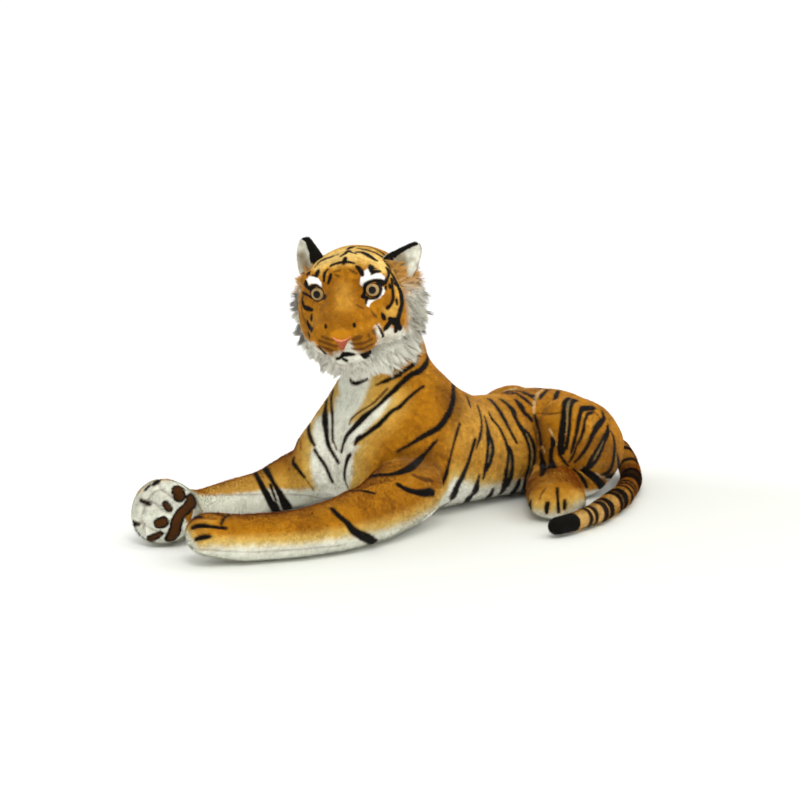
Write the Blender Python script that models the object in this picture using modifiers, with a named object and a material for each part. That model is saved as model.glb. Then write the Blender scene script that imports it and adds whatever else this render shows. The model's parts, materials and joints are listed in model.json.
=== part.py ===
"""A large plush tiger lying on its belly, head turned to its left, tail curled round its left side.

Metres, +Z up, the animal faces -X and its left side is -Y. The origin is on the floor under the middle
of the belly. Each stuffed form is a pile fabric cover with its own filling inside. The head, the
forelegs and the tail are sewn on at rounded ends, so each turns on a ball-shaped seat.
"""

import math

import bmesh
import bpy
from mathutils import Matrix, Vector
from mathutils.bvhtree import BVHTree

# Fabric, filling and the gaps between sewn pieces
COVER_THICKNESS = 0.004
FILLING_GAP = 0.0006
SEAM_GAP = 0.0003
JOINT_GAP = 0.0009
FLOOR_SINK = 0.0005

# Torso
TORSO_LENGTH = 0.700
TORSO_WIDTH = 0.240
BACK_HEIGHT = 0.196
WITHERS_HEIGHT = 0.250

# Neck seat, a ball that the head turns on
NECK_AHEAD_SHARE = 0.2
NECK_RISE = 0.045
NECK_RADIUS = 0.080
NECK_AHEAD = NECK_AHEAD_SHARE * TORSO_LENGTH
NECK_HEIGHT = WITHERS_HEIGHT + NECK_RISE

# Head
HEAD_LENGTH = 0.236
HEAD_WIDTH = 0.220
HEAD_HEIGHT = 0.211
HEAD_REACH = 0.071
HEAD_LEFT = 0.007
HEAD_RISE = 0.093
HEAD_AHEAD = NECK_AHEAD + HEAD_REACH
HEAD_CENTRE_HEIGHT = NECK_HEIGHT + HEAD_RISE
HEAD_TURN = math.radians(36.5)
HEAD_PITCH = math.radians(5)
HEAD_ROLL = math.radians(5.5)

# Face
EYE_DIAMETER = 0.030
EYE_DOME = 0.009
EYE_SPACING = 0.098
EYE_HEIGHT = 0.040
EYE_RIM = 0.003
STEM_DIAMETER = 0.006
STEM_LENGTH = 0.014
WASHER_DIAMETER = 0.020
WASHER_THICKNESS = 0.002
NOSE_WIDTH = 0.036
NOSE_HEIGHT = 0.022
NOSE_DEPTH = 0.020
NOSE_DROP = 0.038
NOSE_TAPER_SHARE = 0.28

# Ears
EAR_WIDTH = 0.062
EAR_LENGTH = 0.060
EAR_LAYER = 0.005
EAR_CUP = 0.014
EAR_BACKSET = 0.012
EAR_TOE_OUT = math.radians(14)
EAR_POINT_SHARE = 0.93
EAR_FULLNESS = 2.4
# Each ear's place round the head and its own lean, both from straight up
LEFT_EAR_PLACE = math.radians(51)
LEFT_EAR_LEAN = math.radians(43)
RIGHT_EAR_PLACE = math.radians(42)
RIGHT_EAR_LEAN = math.radians(14)

# Forelegs
ELBOW_REACH = 0.025
ELBOW_AHEAD = NECK_AHEAD + ELBOW_REACH
ELBOW_OUT = 0.122
ELBOW_HEIGHT = 0.067
ELBOW_RADIUS = 0.056
FORELEG_LENGTH = 0.490
FORELEG_WIDTH = 0.104
LEFT_PAW_DEPTH = 0.035
RIGHT_PAW_DEPTH = 0.019
# The room for the lift is one degree wider than the joint itself.
LIFT_LIMIT = math.radians(12)

# Hind legs
THIGH_LENGTH = 0.232
THIGH_WIDTH = 0.132
THIGH_HEIGHT = 0.194
LEFT_THIGH_TO_TAIL = 0.198
RIGHT_THIGH_TO_TAIL = 0.134
THIGH_OUT = 0.112
THIGH_TAPER_SHARE = 0.19
THIGH_LEAN_SHARE = 0.18
KNEE_SHARE = 0.29
HIND_PAW_WIDTH = 0.108
HIND_PAW_REACH = 0.192
HIND_PAW_DEPTH = 0.039
HIND_PAW_TURN = math.radians(48)

# Tail
TAIL_BEHIND_SHARE = 0.64
TAIL_BEHIND = TAIL_BEHIND_SHARE * TORSO_LENGTH
TAIL_HEIGHT = 0.066
TAIL_DIAMETER = 0.038
TAIL_SPAN = 0.530
TAIL_REACH = 0.350
TAIL_ROOT_DIAMETER = 0.046
TAIL_WAIST_SHARE = 0.86
SWING_LIMIT = math.radians(30)

# Facets
TORSO_SIDE_COUNT = 20
HEAD_SIDE_COUNT = 20
LIMB_SIDE_COUNT = 14
TAIL_SIDE_COUNT = 10
LIMB_FULLNESS = 2.1

# Torso sections from the rump to the withers. Each row holds the top edge, ahead and up, the belly edge,
# ahead and up, and the half width, as shares of the torso's length, withers height and width.
TORSO_SECTION_SHARES = [
    (-0.650, 0.36, -0.640, 0.220, 0.10),
    (-0.618, 0.53, -0.608, 0.090, 0.26),
    (-0.550, 0.665, -0.540, 0.016, 0.38),
    (-0.464, 0.750, -0.454, 0.0, 0.455),
    (-0.364, 0.784, -0.360, 0.0, 0.47),
    (-0.214, 0.768, -0.214, 0.0, 0.44),
    (-0.100, 0.795, -0.060, 0.0, 0.46),
    (-0.040, 0.860, 0.060, 0.0, 0.52),
    (0.004, 0.925, 0.190, 0.0, 0.585),
    (0.036, 0.990, 0.305, 0.070, 0.61),
    (0.060, 1.050, 0.346, 0.300, 0.58),
    (0.074, 1.100, 0.338, 0.580, 0.48),
]
BACK_SHARE = 0.784
TORSO_FULLNESS = 2.35
# Rings of the neck seat: the angle of the nape edge and of the throat edge above the ball's middle
NECK_RING_ANGLE_SHARES = [(-0.02, -0.34), (0.10, -0.17), (0.26, 0.02), (0.42, 0.24), (0.56, 0.46)]

# Head sections from the back of the head to the lips: place ahead, top, bottom, half width and the height
# of the widest level, as shares of the head's length, height (three of them) and width.
HEAD_SECTION_SHARES = [
    (-0.455, 0.16, -0.22, 0.20, -0.03),
    (-0.370, 0.33, -0.36, 0.37, -0.04),
    (-0.200, 0.46, -0.46, 0.48, -0.06),
    (-0.020, 0.50, -0.50, 0.50, -0.08),
    (0.130, 0.465, -0.51, 0.47, -0.10),
    (0.250, 0.370, -0.50, 0.40, -0.12),
    (0.330, 0.240, -0.48, 0.32, -0.15),
    (0.410, 0.080, -0.44, 0.245, -0.18),
    (0.470, -0.030, -0.410, 0.20, -0.20),
    (0.505, -0.090, -0.360, 0.14, -0.22),
]
SNOUT_SHARE = 0.525
HEAD_FULLNESS = 2.15

# Foreleg stations after the elbow ball: ahead and outward as shares of the leg's length, then the height of
# its underside, its half width and its half height as shares of the leg's width.
LEFT_FORELEG_SHARES = [
    (0.11, 0.030, 0.09, 0.57, 0.58),
    (0.27, 0.085, 0.01, 0.53, 0.49),
    (0.45, 0.115, 0.0, 0.50, 0.47),
    (0.64, 0.090, 0.0, 0.47, 0.435),
    (0.81, 0.026, 0.01, 0.47, 0.405),
    (0.915, -0.028, 0.14, 0.49, 0.335),
]
RIGHT_FORELEG_SHARES = [
    (0.12, 0.030, 0.05, 0.55, 0.51),
    (0.29, 0.045, 0.0, 0.46, 0.38),
    (0.46, 0.026, 0.0, 0.43, 0.355),
    (0.63, -0.040, 0.0, 0.40, 0.345),
    (0.77, -0.105, 0.015, 0.46, 0.43),
    (0.87, -0.150, 0.03, 0.58, 0.555),
]
# Hind paw stations from the knee to the toes: along its reach, then half width and half height as shares of
# its width.
HIND_PAW_SHARES = [(0.0, 0.44, 0.37), (0.35, 0.46, 0.375), (0.75, 0.50, 0.365), (1.0, 0.51, 0.34)]
# Tail stations: behind the root as a share of the tail's span, left as a share of its reach, height above
# the floor as a share of its diameter.
TAIL_BASE_SHARES = [(0.030, 0.110, 1.40), (-0.008, 0.215, 0.98), (-0.066, 0.320, 0.60), (-0.150, 0.440, 0.53)]
TAIL_BASE_SHARES += [(-0.262, 0.570, 0.53)]
TAIL_JOINT_SHARE = (-0.385, 0.700, 0.53)
TAIL_END_SHARES = [(-0.540, 0.825, 0.53), (-0.700, 0.935, 0.53), (-0.840, 0.990, 0.53), (-0.930, 1.000, 0.53)]

ROUND_END_ANGLES = [math.radians(a) for a in (28, 54, 74)]
BALL_ANGLES = [math.radians(a) for a in (-48, -30, -14)]

PILE = (0.60, 0.27, 0.05, 1)
FILLING = (0.85, 0.85, 0.83, 1)
WHITE_PILE = (0.80, 0.80, 0.74, 1)
BLACK_PILE = (0.02, 0.018, 0.015, 1)


def clear_scene():
    for found in list(bpy.data.objects):
        bpy.data.objects.remove(found, do_unlink=True)


def collection(name):
    group = bpy.data.collections.new(name)
    bpy.context.scene.collection.children.link(group)
    return group


def material(name, colour, roughness, metallic=0.0):
    made = bpy.data.materials.new(name)
    made.use_nodes = True
    shader = made.node_tree.nodes["Principled BSDF"]
    shader.inputs["Base Color"].default_value = colour
    shader.inputs["Roughness"].default_value = roughness
    shader.inputs["Metallic"].default_value = metallic
    return made


def place(ahead, left, up):
    """A point given in the animal's own directions."""
    return Vector((-ahead, -left, up))


def empty(name, where, parent=None):
    made = bpy.data.objects.new(name, None)
    made.location = where
    made.parent = parent
    PARTS.objects.link(made)
    return made


def link(name, mesh_data, group, parent=None, finish=None):
    """An object from a bmesh that is drawn in the parent's own frame."""
    mesh = bpy.data.meshes.new(name)
    mesh_data.to_mesh(mesh)
    mesh.shade_smooth()
    made = bpy.data.objects.new(name, mesh)
    made.parent = parent
    if finish:
        mesh.materials.append(finish)
    group.objects.link(made)
    return made


def piece(name, mesh_data, finish, parent=None):
    return link(name, mesh_data, PARTS, parent, finish)


def cutter(name, mesh_data, parent=None):
    made = link(name, mesh_data, CUTTERS, parent)
    made.hide_render = True
    made.display_type = "WIRE"
    return made


def cut(target, *tools):
    for tool in tools:
        step = target.modifiers.new("cut_" + tool.name, "BOOLEAN")
        step.operation = "DIFFERENCE"
        step.object = tool
    return target


def wall(target, thickness):
    """Turns a surface into fabric of one thickness, laid inward."""
    step = target.modifiers.new("fabric", "SOLIDIFY")
    step.thickness = thickness
    step.offset = -1
    step.use_even_offset = True
    return target


def shifted(mesh_data, distance):
    """Moves the surface outward, or inward for a negative distance, and returns the same mesh."""
    mesh_data.normal_update()
    moves = [(v, v.normal * v.calc_shell_factor() * distance) for v in mesh_data.verts]
    for vertex, move in moves:
        vertex.co += move
    return mesh_data


def moved(mesh_data, offset):
    bmesh.ops.translate(mesh_data, verts=mesh_data.verts, vec=offset)
    return mesh_data


def loft(rings, start=None, end=None):
    """Skins rings of points. A start or end point closes that end, None leaves it open."""
    mesh_data = bmesh.new()
    rows = [[mesh_data.verts.new(point) for point in ring] for ring in rings]
    count = len(rings[0])
    for first, second in zip(rows, rows[1:]):
        for i in range(count):
            j = (i + 1) % count
            mesh_data.faces.new((first[i], first[j], second[j], second[i]))
    for point, row in ((start, rows[0]), (end, rows[-1])):
        if point is not None:
            tip = mesh_data.verts.new(point)
            for i in range(count):
                mesh_data.faces.new((tip, row[i], row[(i + 1) % count]))
    bmesh.ops.recalc_face_normals(mesh_data, faces=mesh_data.faces)
    if mesh_data.calc_volume(signed=True) < 0:
        bmesh.ops.reverse_faces(mesh_data, faces=mesh_data.faces)
    return mesh_data


def ring(middle, side, up, half_width, half_up, half_down, sides, fullness=2.0):
    """One closed section with a flat top and bottom edge. Fullness 2 is an ellipse, more is squarer."""
    flat = math.cos(math.pi / sides) ** (2 / fullness)
    points = []
    for i in range(sides):
        angle = 2 * math.pi * (i + 0.5) / sides
        c, s = math.cos(angle), math.sin(angle)
        across = math.copysign(abs(c) ** (2 / fullness), c) * half_width
        along = math.copysign(abs(s) ** (2 / fullness) / flat, s) * (half_up if s > 0 else half_down)
        points.append(middle + side * across + up * along)
    return points


def ball_ring(middle, side, up, radius, sides):
    """A round section whose points lie on the circle itself."""
    angles = [2 * math.pi * (i + 0.5) / sides for i in range(sides)]
    return [middle + side * radius * math.cos(angle) + up * radius * math.sin(angle) for angle in angles]


def limb_rings(stations, sides, ball=None, round_depth=None, fullness=LIMB_FULLNESS):
    """Rings along a limb. A station is its point, half width and half height.

    With a ball radius the limb starts as the back of a ball round its first point.
    With a round depth it ends in a dome that deep. Returns the rings and the dome's tip.
    """
    points = [point for point, _, _ in stations]
    rings = []
    for k, (_, wide, high) in enumerate(stations):
        ahead = points[min(k + 1, len(points) - 1)] - points[max(k - 1, 0)]
        ahead.normalize()
        side = ahead.cross(Vector((0, 0, 1))).normalized()
        up = side.cross(ahead)
        if k == 0 and ball:
            for angle in BALL_ANGLES:
                back = points[0] + ahead * ball * math.sin(angle)
                radius = ball * math.cos(angle)
                rings.append(ball_ring(back, side, up, radius, sides))
            rings.append(ball_ring(points[0], side, up, ball, sides))
        else:
            rings.append(ring(points[k], side, up, wide, high, high, sides, fullness))
    tip = None
    if round_depth:
        for angle in ROUND_END_ANGLES:
            middle = points[-1] + ahead * round_depth * math.sin(angle)
            small = math.cos(angle)
            rings.append(ring(middle, side, up, wide * small, high * small, high * small, sides, fullness))
        tip = points[-1] + ahead * round_depth
    return rings, tip


def middle_of(ring_points):
    return sum(ring_points, Vector()) / len(ring_points)


def stuffed(name, build, finish, parent=None, origin=Vector(), open_start=True, coarse=2):
    """A fabric cover and its filling from one form. build(coarse, closed) returns the form."""
    cover = piece(name + "_cover", moved(build(1, not open_start), -origin), finish, parent)
    wall(cover, COVER_THICKNESS)
    core = shifted(build(coarse, True), -(COVER_THICKNESS + FILLING_GAP))
    filling = piece(name + "_filling", moved(core, -origin), STUFFING, parent)
    return cover, filling


def limb(stations, sides, ball=None, round_depth=None, fullness=LIMB_FULLNESS):
    """A function that builds the limb's form, open or closed, with every side or every second one."""

    def build(coarse, closed):
        rings, tip = limb_rings(stations, sides, ball, round_depth, fullness)
        rings = [points[::coarse] for points in rings]
        if tip is None and closed:
            tip = middle_of(rings[-1])
        return loft(rings, middle_of(rings[0]) if closed else None, tip)

    return build


def ball_seat(name, centre, radius, cover, filling):
    """Hollows a cover and its filling where a ball turns in them. The filling's hollow is plainer."""
    for target, segments in ((cover, 32), (filling, 16)):
        mesh_data = bmesh.new()
        outside = radius / math.cos(math.pi / segments) ** 2
        bmesh.ops.create_uvsphere(mesh_data, u_segments=segments, v_segments=segments // 2, radius=outside)
        tool = cutter(name + "_" + target.name, mesh_data)
        tool.location = centre
        cut(target, tool)


def swing_room(name, stations, pivot, ball, axis, limit, sides):
    """The room a limb needs in its neighbour, from its rest place to the end of its swing."""
    room = []
    half_turn = Matrix.Rotation(limit / 2, 3, axis)
    sweeps_up = abs(axis.z) < 0.5
    for point, wide, high in [(pivot, ball, ball)] + stations[1:]:
        arm = point - pivot
        spread = arm.length * math.tan(limit / 2)
        wide = wide + 2 * JOINT_GAP + (0 if sweeps_up else spread)
        high = high + 2 * JOINT_GAP + (spread if sweeps_up else 0)
        room.append((pivot + half_turn @ arm, wide, high))
    rings, _ = limb_rings(room, sides)
    return cutter(name, loft(rings, middle_of(rings[0]), middle_of(rings[-1])))


def torso_height(share):
    return share * WITHERS_HEIGHT


def torso_rings(sides):
    """Sections that fan from upright at the rump to level at the neck seat."""
    rows = []
    for top_ahead, top_up, low_ahead, low_up, half in TORSO_SECTION_SHARES:
        top = torso_height(top_up) * (BACK_HEIGHT / torso_height(BACK_SHARE) if top_up <= BACK_SHARE else 1)
        low = torso_height(low_up) if low_up else -FLOOR_SINK
        rows.append((top_ahead * TORSO_LENGTH, top, low_ahead * TORSO_LENGTH, low, half * TORSO_WIDTH))
    for nape, throat in NECK_RING_ANGLE_SHARES:
        nape, throat = nape * math.pi / 2, throat * math.pi / 2
        pivot = Vector((NECK_AHEAD, NECK_HEIGHT))
        top = pivot + NECK_RADIUS * Vector((-math.cos(nape), math.sin(nape)))
        low = pivot + NECK_RADIUS * Vector((math.cos(throat), math.sin(throat)))
        rows.append((*top, *low, (top - low).length / 2))
    rings = []
    for k, (top_ahead, top, low_ahead, low, half) in enumerate(rows):
        upper = place(top_ahead, 0, top)
        lower = place(low_ahead, 0, low)
        reach = (upper - lower) / 2
        middle = (upper + lower) / 2
        rise = reach.normalized()
        across = Vector((0, -1, 0))
        if k < len(TORSO_SECTION_SHARES):
            rings.append(ring(middle, across, rise, half, reach.length, reach.length, sides, TORSO_FULLNESS))
        else:
            rings.append(ball_ring(middle, across, rise, half, sides))
    return rings


def torso_form(coarse, closed):
    rings = [points[::coarse] for points in torso_rings(TORSO_SIDE_COUNT)]
    rump = middle_of(rings[0]) + place(-FLOOR_SINK, 0, 0)
    return loft(rings, rump, middle_of(rings[-1]) if closed else None)


def make_torso():
    cover, filling = stuffed("torso", torso_form, PLUSH)
    return cover, filling, cutter("torso_seam", shifted(torso_form(1, True), SEAM_GAP))


def head_form(coarse, closed):
    """The head in its own frame: X to its left, -Y ahead, Z up."""
    rings = []
    for ahead, top, bottom, half, level in HEAD_SECTION_SHARES:
        middle = Vector((0, -ahead * HEAD_LENGTH, level * HEAD_HEIGHT))
        up = (top - level) * HEAD_HEIGHT
        down = (level - bottom) * HEAD_HEIGHT
        half *= HEAD_WIDTH
        left = Vector((1, 0, 0))
        section = ring(middle, left, Vector((0, 0, 1)), half, up, down, HEAD_SIDE_COUNT, HEAD_FULLNESS)
        rings.append(section[::coarse])
    first = HEAD_SECTION_SHARES[0]
    last = HEAD_SECTION_SHARES[-1]
    back = Vector((0, HEAD_LENGTH / 2 - FLOOR_SINK, first[4] * HEAD_HEIGHT))
    snout = Vector((0, -SNOUT_SHARE * HEAD_LENGTH, (last[1] + last[2]) / 2 * HEAD_HEIGHT))
    return loft(rings, back, snout)


def make_head():
    joint = empty("head_joint", place(NECK_AHEAD, 0, NECK_HEIGHT))
    frame = empty("head_frame", place(HEAD_AHEAD, HEAD_LEFT, HEAD_CENTRE_HEIGHT) - joint.location, joint)
    frame.rotation_euler = (Matrix.Rotation(HEAD_TURN - math.pi / 2, 3, "Z")
                            @ Matrix.Rotation(HEAD_PITCH, 3, "X")
                            @ Matrix.Rotation(-HEAD_ROLL, 3, "Y")).to_euler()
    cover, filling = stuffed("head", head_form, PLUSH, frame, open_start=False)
    ball_seat("neck_seat", joint.location, NECK_RADIUS + JOINT_GAP, cover, filling)
    return cover, filling, frame


def turned(name, profile, finish, parent, steps=20):
    """A solid turned about its own Z from a profile of (radius, height) that runs down its outer side."""
    mesh_data = bmesh.new()
    verts = [mesh_data.verts.new((radius, 0, height)) for radius, height in profile]
    for first, second in zip(verts, verts[1:]):
        mesh_data.edges.new((first, second))
    made = link(name, mesh_data, PARTS if finish else CUTTERS, parent, finish)
    spin = made.modifiers.new("turn", "SCREW")
    spin.axis = "Z"
    spin.steps = steps
    spin.render_steps = steps
    spin.use_merge_vertices = True
    spin.merge_threshold = 0.00001
    if not finish:
        made.hide_render = True
        made.display_type = "WIRE"
    return made


def eye_profile(grow):
    """Dome, rim and stem of a safety eye, from its front to the end of its stem."""
    radius = EYE_DIAMETER / 2
    sphere = (radius * radius + EYE_DOME * EYE_DOME) / (2 * EYE_DOME)
    reach = math.asin(radius / sphere)
    dome = []
    for i in range(5):
        angle = reach * i / 4
        dome.append((sphere * math.sin(angle), EYE_DOME - sphere + sphere * math.cos(angle)))
    outline = dome + [(radius, -EYE_RIM), (STEM_DIAMETER / 2, -EYE_RIM), (STEM_DIAMETER / 2, -STEM_LENGTH)]
    outline.append((0, -STEM_LENGTH))
    if not grow:
        return outline
    grown = [(0, EYE_DOME + grow)] + [(r + grow, h + grow) for r, h in dome[1:]]
    grown += [(radius + grow, -EYE_RIM - grow), (STEM_DIAMETER / 2 + grow, -EYE_RIM - grow)]
    return grown + [(STEM_DIAMETER / 2 + grow, -STEM_LENGTH - grow), (0, -STEM_LENGTH - grow)]


def washer_profile(grow):
    """A flat ring on the stem, behind the fabric. Its cutter has no bore."""
    top = -EYE_RIM - COVER_THICKNESS - FILLING_GAP + grow
    low = top - WASHER_THICKNESS - 2 * grow
    outer = WASHER_DIAMETER / 2 + grow
    if grow:
        return [(0, top), (outer, top), (outer, low), (0, low)]
    bore = STEM_DIAMETER / 2 + SEAM_GAP
    return [(bore, top), (outer, top), (outer, low), (bore, low), (bore, top)]


def make_eyes(cover, filling, frame, surface):
    for side, sign in (("left", 1), ("right", -1)):
        start = Vector((sign * EYE_SPACING / 2, -HEAD_LENGTH, EYE_HEIGHT))
        spot, normal, _, _ = surface.ray_cast(start, Vector((0, 1, 0)))
        look = (normal.normalized() + Vector((0, -1, 0))).normalized()
        seat = empty("eye_seat_" + side, spot, frame)
        seat.rotation_euler = look.to_track_quat("Z", "Y").to_euler()
        turned("eye_" + side, eye_profile(0), GLOSS, seat)
        turned("eye_washer_" + side, washer_profile(0), RIGID, seat)
        hole = turned("eye_hole_" + side, eye_profile(SEAM_GAP), None, seat)
        pocket = turned("eye_pocket_" + side, washer_profile(SEAM_GAP), None, seat)
        cut(cover, hole, pocket)
        cut(filling, hole, pocket)


def nose_form(grow):
    """A soft triangle, wide at the top, rounded on every side."""
    mesh_data = bmesh.new()
    bmesh.ops.create_uvsphere(mesh_data, u_segments=16, v_segments=10, radius=1)
    for vertex in mesh_data.verts:
        x, y, z = vertex.co
        narrow = 1 - NOSE_TAPER_SHARE * (1 - z)
        vertex.co = (x * narrow * NOSE_WIDTH / 2, y * NOSE_DEPTH / 2, z * NOSE_HEIGHT / 2)
    return shifted(mesh_data, grow) if grow else mesh_data


def make_nose(cover, filling, frame, surface):
    start = Vector((0, -HEAD_LENGTH, -NOSE_DROP))
    spot, _, _, _ = surface.ray_cast(start, Vector((0, 1, 0)))
    seat = empty("nose_seat", spot, frame)
    piece("nose", nose_form(0), NOSE_FABRIC, seat)
    hole = cutter("nose_hole", nose_form(SEAM_GAP), seat)
    cut(cover, hole)
    cut(filling, hole)


def ear_form(grow=0.0):
    """The sheet between an ear's two layers, a cupped leaf with Z up its length, X across and -Y ahead."""
    mesh_data = bmesh.new()
    columns, rows = 6, 6
    grid = []
    for j in range(rows + 1):
        height = j / rows * (EAR_LENGTH + 2 * grow) - grow
        rise = EAR_POINT_SHARE * min(1.0, max(0.0, height / EAR_LENGTH))
        half = (EAR_WIDTH / 2 + grow) * math.sqrt(1 - rise ** EAR_FULLNESS)
        line = []
        for i in range(columns + 1):
            across = (2 * i / columns - 1) * half
            cup = EAR_CUP * (2 * across / EAR_WIDTH) ** 2 * (1 - height / EAR_LENGTH / 2)
            line.append(mesh_data.verts.new((across, -cup, height)))
        grid.append(line)
    for j in range(rows):
        for i in range(columns):
            mesh_data.faces.new((grid[j][i], grid[j][i + 1], grid[j + 1][i + 1], grid[j + 1][i]))
    return mesh_data


def make_ears(cover, filling, frame, surface):
    ears = (("left", 1, LEFT_EAR_PLACE, LEFT_EAR_LEAN), ("right", -1, RIGHT_EAR_PLACE, RIGHT_EAR_LEAN))
    for side, sign, round_head, lean in ears:
        out = Vector((sign * math.sin(round_head), 0, math.cos(round_head)))
        start = out * HEAD_WIDTH + Vector((0, EAR_BACKSET, 0))
        spot, _, _, _ = surface.ray_cast(start, -out)
        seat = empty("ear_seat_" + side, spot - out * 2 * COVER_THICKNESS, frame)
        seat.rotation_euler = (0, sign * lean, sign * EAR_TOE_OUT)
        back = piece("ear_" + side + "_back", ear_form(), DARK_PLUSH, seat)
        wall(back, EAR_LAYER)
        ahead = shifted(ear_form(), EAR_LAYER + 2 * SEAM_GAP)
        lining = piece("ear_" + side + "_lining", ahead, PALE_PLUSH, seat)
        wall(lining, EAR_LAYER)
        slot = cutter("ear_slot_" + side, shifted(ear_form(4 * SEAM_GAP), SEAM_GAP), seat)
        wall(slot, 2 * EAR_LAYER + 8 * SEAM_GAP).modifiers["fabric"].offset = 0
        cut(cover, slot)
        cut(filling, slot)


def leg_stations(shares, sign):
    elbow = place(ELBOW_AHEAD, sign * ELBOW_OUT, ELBOW_HEIGHT)
    stations = [(elbow, ELBOW_RADIUS, ELBOW_RADIUS)]
    for ahead, out, under, wide, high in shares:
        point = elbow + place(ahead * FORELEG_LENGTH, sign * out * FORELEG_LENGTH, 0)
        point.z = (under + high) * FORELEG_WIDTH - FLOOR_SINK
        stations.append((point, wide * FORELEG_WIDTH, high * FORELEG_WIDTH))
    return elbow, stations


def make_foreleg(side, sign, shares, round_depth):
    elbow, stations = leg_stations(shares, sign)
    joint = empty("foreleg_" + side + "_joint", elbow)
    build = limb(stations, LIMB_SIDE_COUNT, ELBOW_RADIUS, round_depth)
    cover, filling = stuffed("foreleg_" + side, build, PLUSH, joint, elbow)
    cut(cover, FLOOR)
    hinge = Vector((0, 1, 0))
    return swing_room("foreleg_room_" + side, stations[:4], elbow, ELBOW_RADIUS, hinge, LIFT_LIMIT, 24)


def thigh_form(behind, sign):
    """An upright oval with its broad end ahead."""

    def build(coarse, _closed):
        mesh_data = bmesh.new()
        bmesh.ops.create_uvsphere(mesh_data, u_segments=18 // coarse, v_segments=10 // coarse, radius=1)
        for vertex in mesh_data.verts:
            x, y, z = vertex.co
            taper = 1 - THIGH_TAPER_SHARE * x
            lean = THIGH_LEAN_SHARE * (1 - z) * THIGH_WIDTH / 2
            out = y * taper * THIGH_WIDTH / 2 - sign * lean
            vertex.co = (x * THIGH_LENGTH / 2, out, z * taper * THIGH_HEIGHT / 2)
        lowest = min(vertex.co.z for vertex in mesh_data.verts)
        return moved(mesh_data, place(-behind, sign * THIGH_OUT, -lowest - FLOOR_SINK))

    return build


def make_hind_leg(side, sign, behind, torso_seam):
    cover, filling = stuffed("thigh_" + side, thigh_form(behind, sign), PLUSH, open_start=False)
    for made in (cover, filling):
        cut(made, torso_seam)
    cut(cover, FLOOR)
    thigh_seam = cutter("thigh_seam_" + side, shifted(thigh_form(behind, sign)(1, True), SEAM_GAP))
    knee = place(-behind + THIGH_LENGTH * KNEE_SHARE, sign * THIGH_OUT, 0)
    aim = place(math.cos(HIND_PAW_TURN), sign * math.sin(HIND_PAW_TURN), 0)
    stations = []
    for along, wide, high in HIND_PAW_SHARES:
        point = knee + aim * HIND_PAW_REACH * along
        point.z = high * HIND_PAW_WIDTH - FLOOR_SINK
        stations.append((point, wide * HIND_PAW_WIDTH, high * HIND_PAW_WIDTH))
    build = limb(stations, LIMB_SIDE_COUNT, None, HIND_PAW_DEPTH)
    paw_cover, paw_filling = stuffed("hind_paw_" + side, build, PLUSH)
    for made in (paw_cover, paw_filling):
        cut(made, torso_seam, thigh_seam)
    cut(paw_cover, FLOOR)


def tail_point(share):
    behind, left, up = share
    root = place(-TAIL_BEHIND, 0, 0)
    return root + place(-behind * TAIL_SPAN, left * TAIL_REACH, up * TAIL_DIAMETER)


def make_tail():
    root = place(-TAIL_BEHIND, 0, TAIL_HEIGHT)
    root_joint = empty("tail_root_joint", root)
    half = TAIL_DIAMETER / 2
    ball = TAIL_ROOT_DIAMETER / 2
    stations = [(root, ball, ball)]
    stations += [(tail_point(share), half, half) for share in TAIL_BASE_SHARES]
    joint_at = tail_point(TAIL_JOINT_SHARE)
    last = stations[-1][0]
    waist = half * TAIL_WAIST_SHARE
    stations.append((joint_at + (last - joint_at).normalized() * half / 2, waist, waist))
    build = limb(stations, TAIL_SIDE_COUNT, ball, None, 2.0)
    base = stuffed("tail_base", build, PLUSH, root_joint, root, coarse=1)
    ball_seat("tail_seat", joint_at, half + JOINT_GAP / 2, *base)
    end_joint = empty("tail_end_joint", joint_at - root, root_joint)
    stations_end = [(joint_at, half, half)]
    stations_end += [(tail_point(share), half, half) for share in TAIL_END_SHARES]
    build = limb(stations_end, TAIL_SIDE_COUNT, half, half, 2.0)
    stuffed("tail_end", build, PLUSH, end_joint, joint_at, coarse=1)
    return swing_room("tail_room", stations[:4], root, ball, Vector((0, 0, 1)), SWING_LIMIT, 20)


clear_scene()
PARTS = collection("plush_tiger")
CUTTERS = collection("cutters")
PLUSH = material("orange_pile", PILE, 0.95)
PALE_PLUSH = material("white_pile", WHITE_PILE, 0.95)
DARK_PLUSH = material("black_pile", BLACK_PILE, 0.95)
STUFFING = material("polyester_filling", FILLING, 1.0)
GLOSS = material("eye_plastic", (0.08, 0.05, 0.02, 1), 0.1)
RIGID = material("washer_plastic", (0.7, 0.7, 0.7, 1), 0.5)
NOSE_FABRIC = material("nose_fabric", (0.33, 0.08, 0.03, 1), 0.8)

floor_block = bmesh.new()
bmesh.ops.create_cube(floor_block, size=4 * TORSO_LENGTH)
FLOOR = cutter("floor_block", moved(floor_block, Vector((0, 0, -2 * TORSO_LENGTH))))

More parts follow.
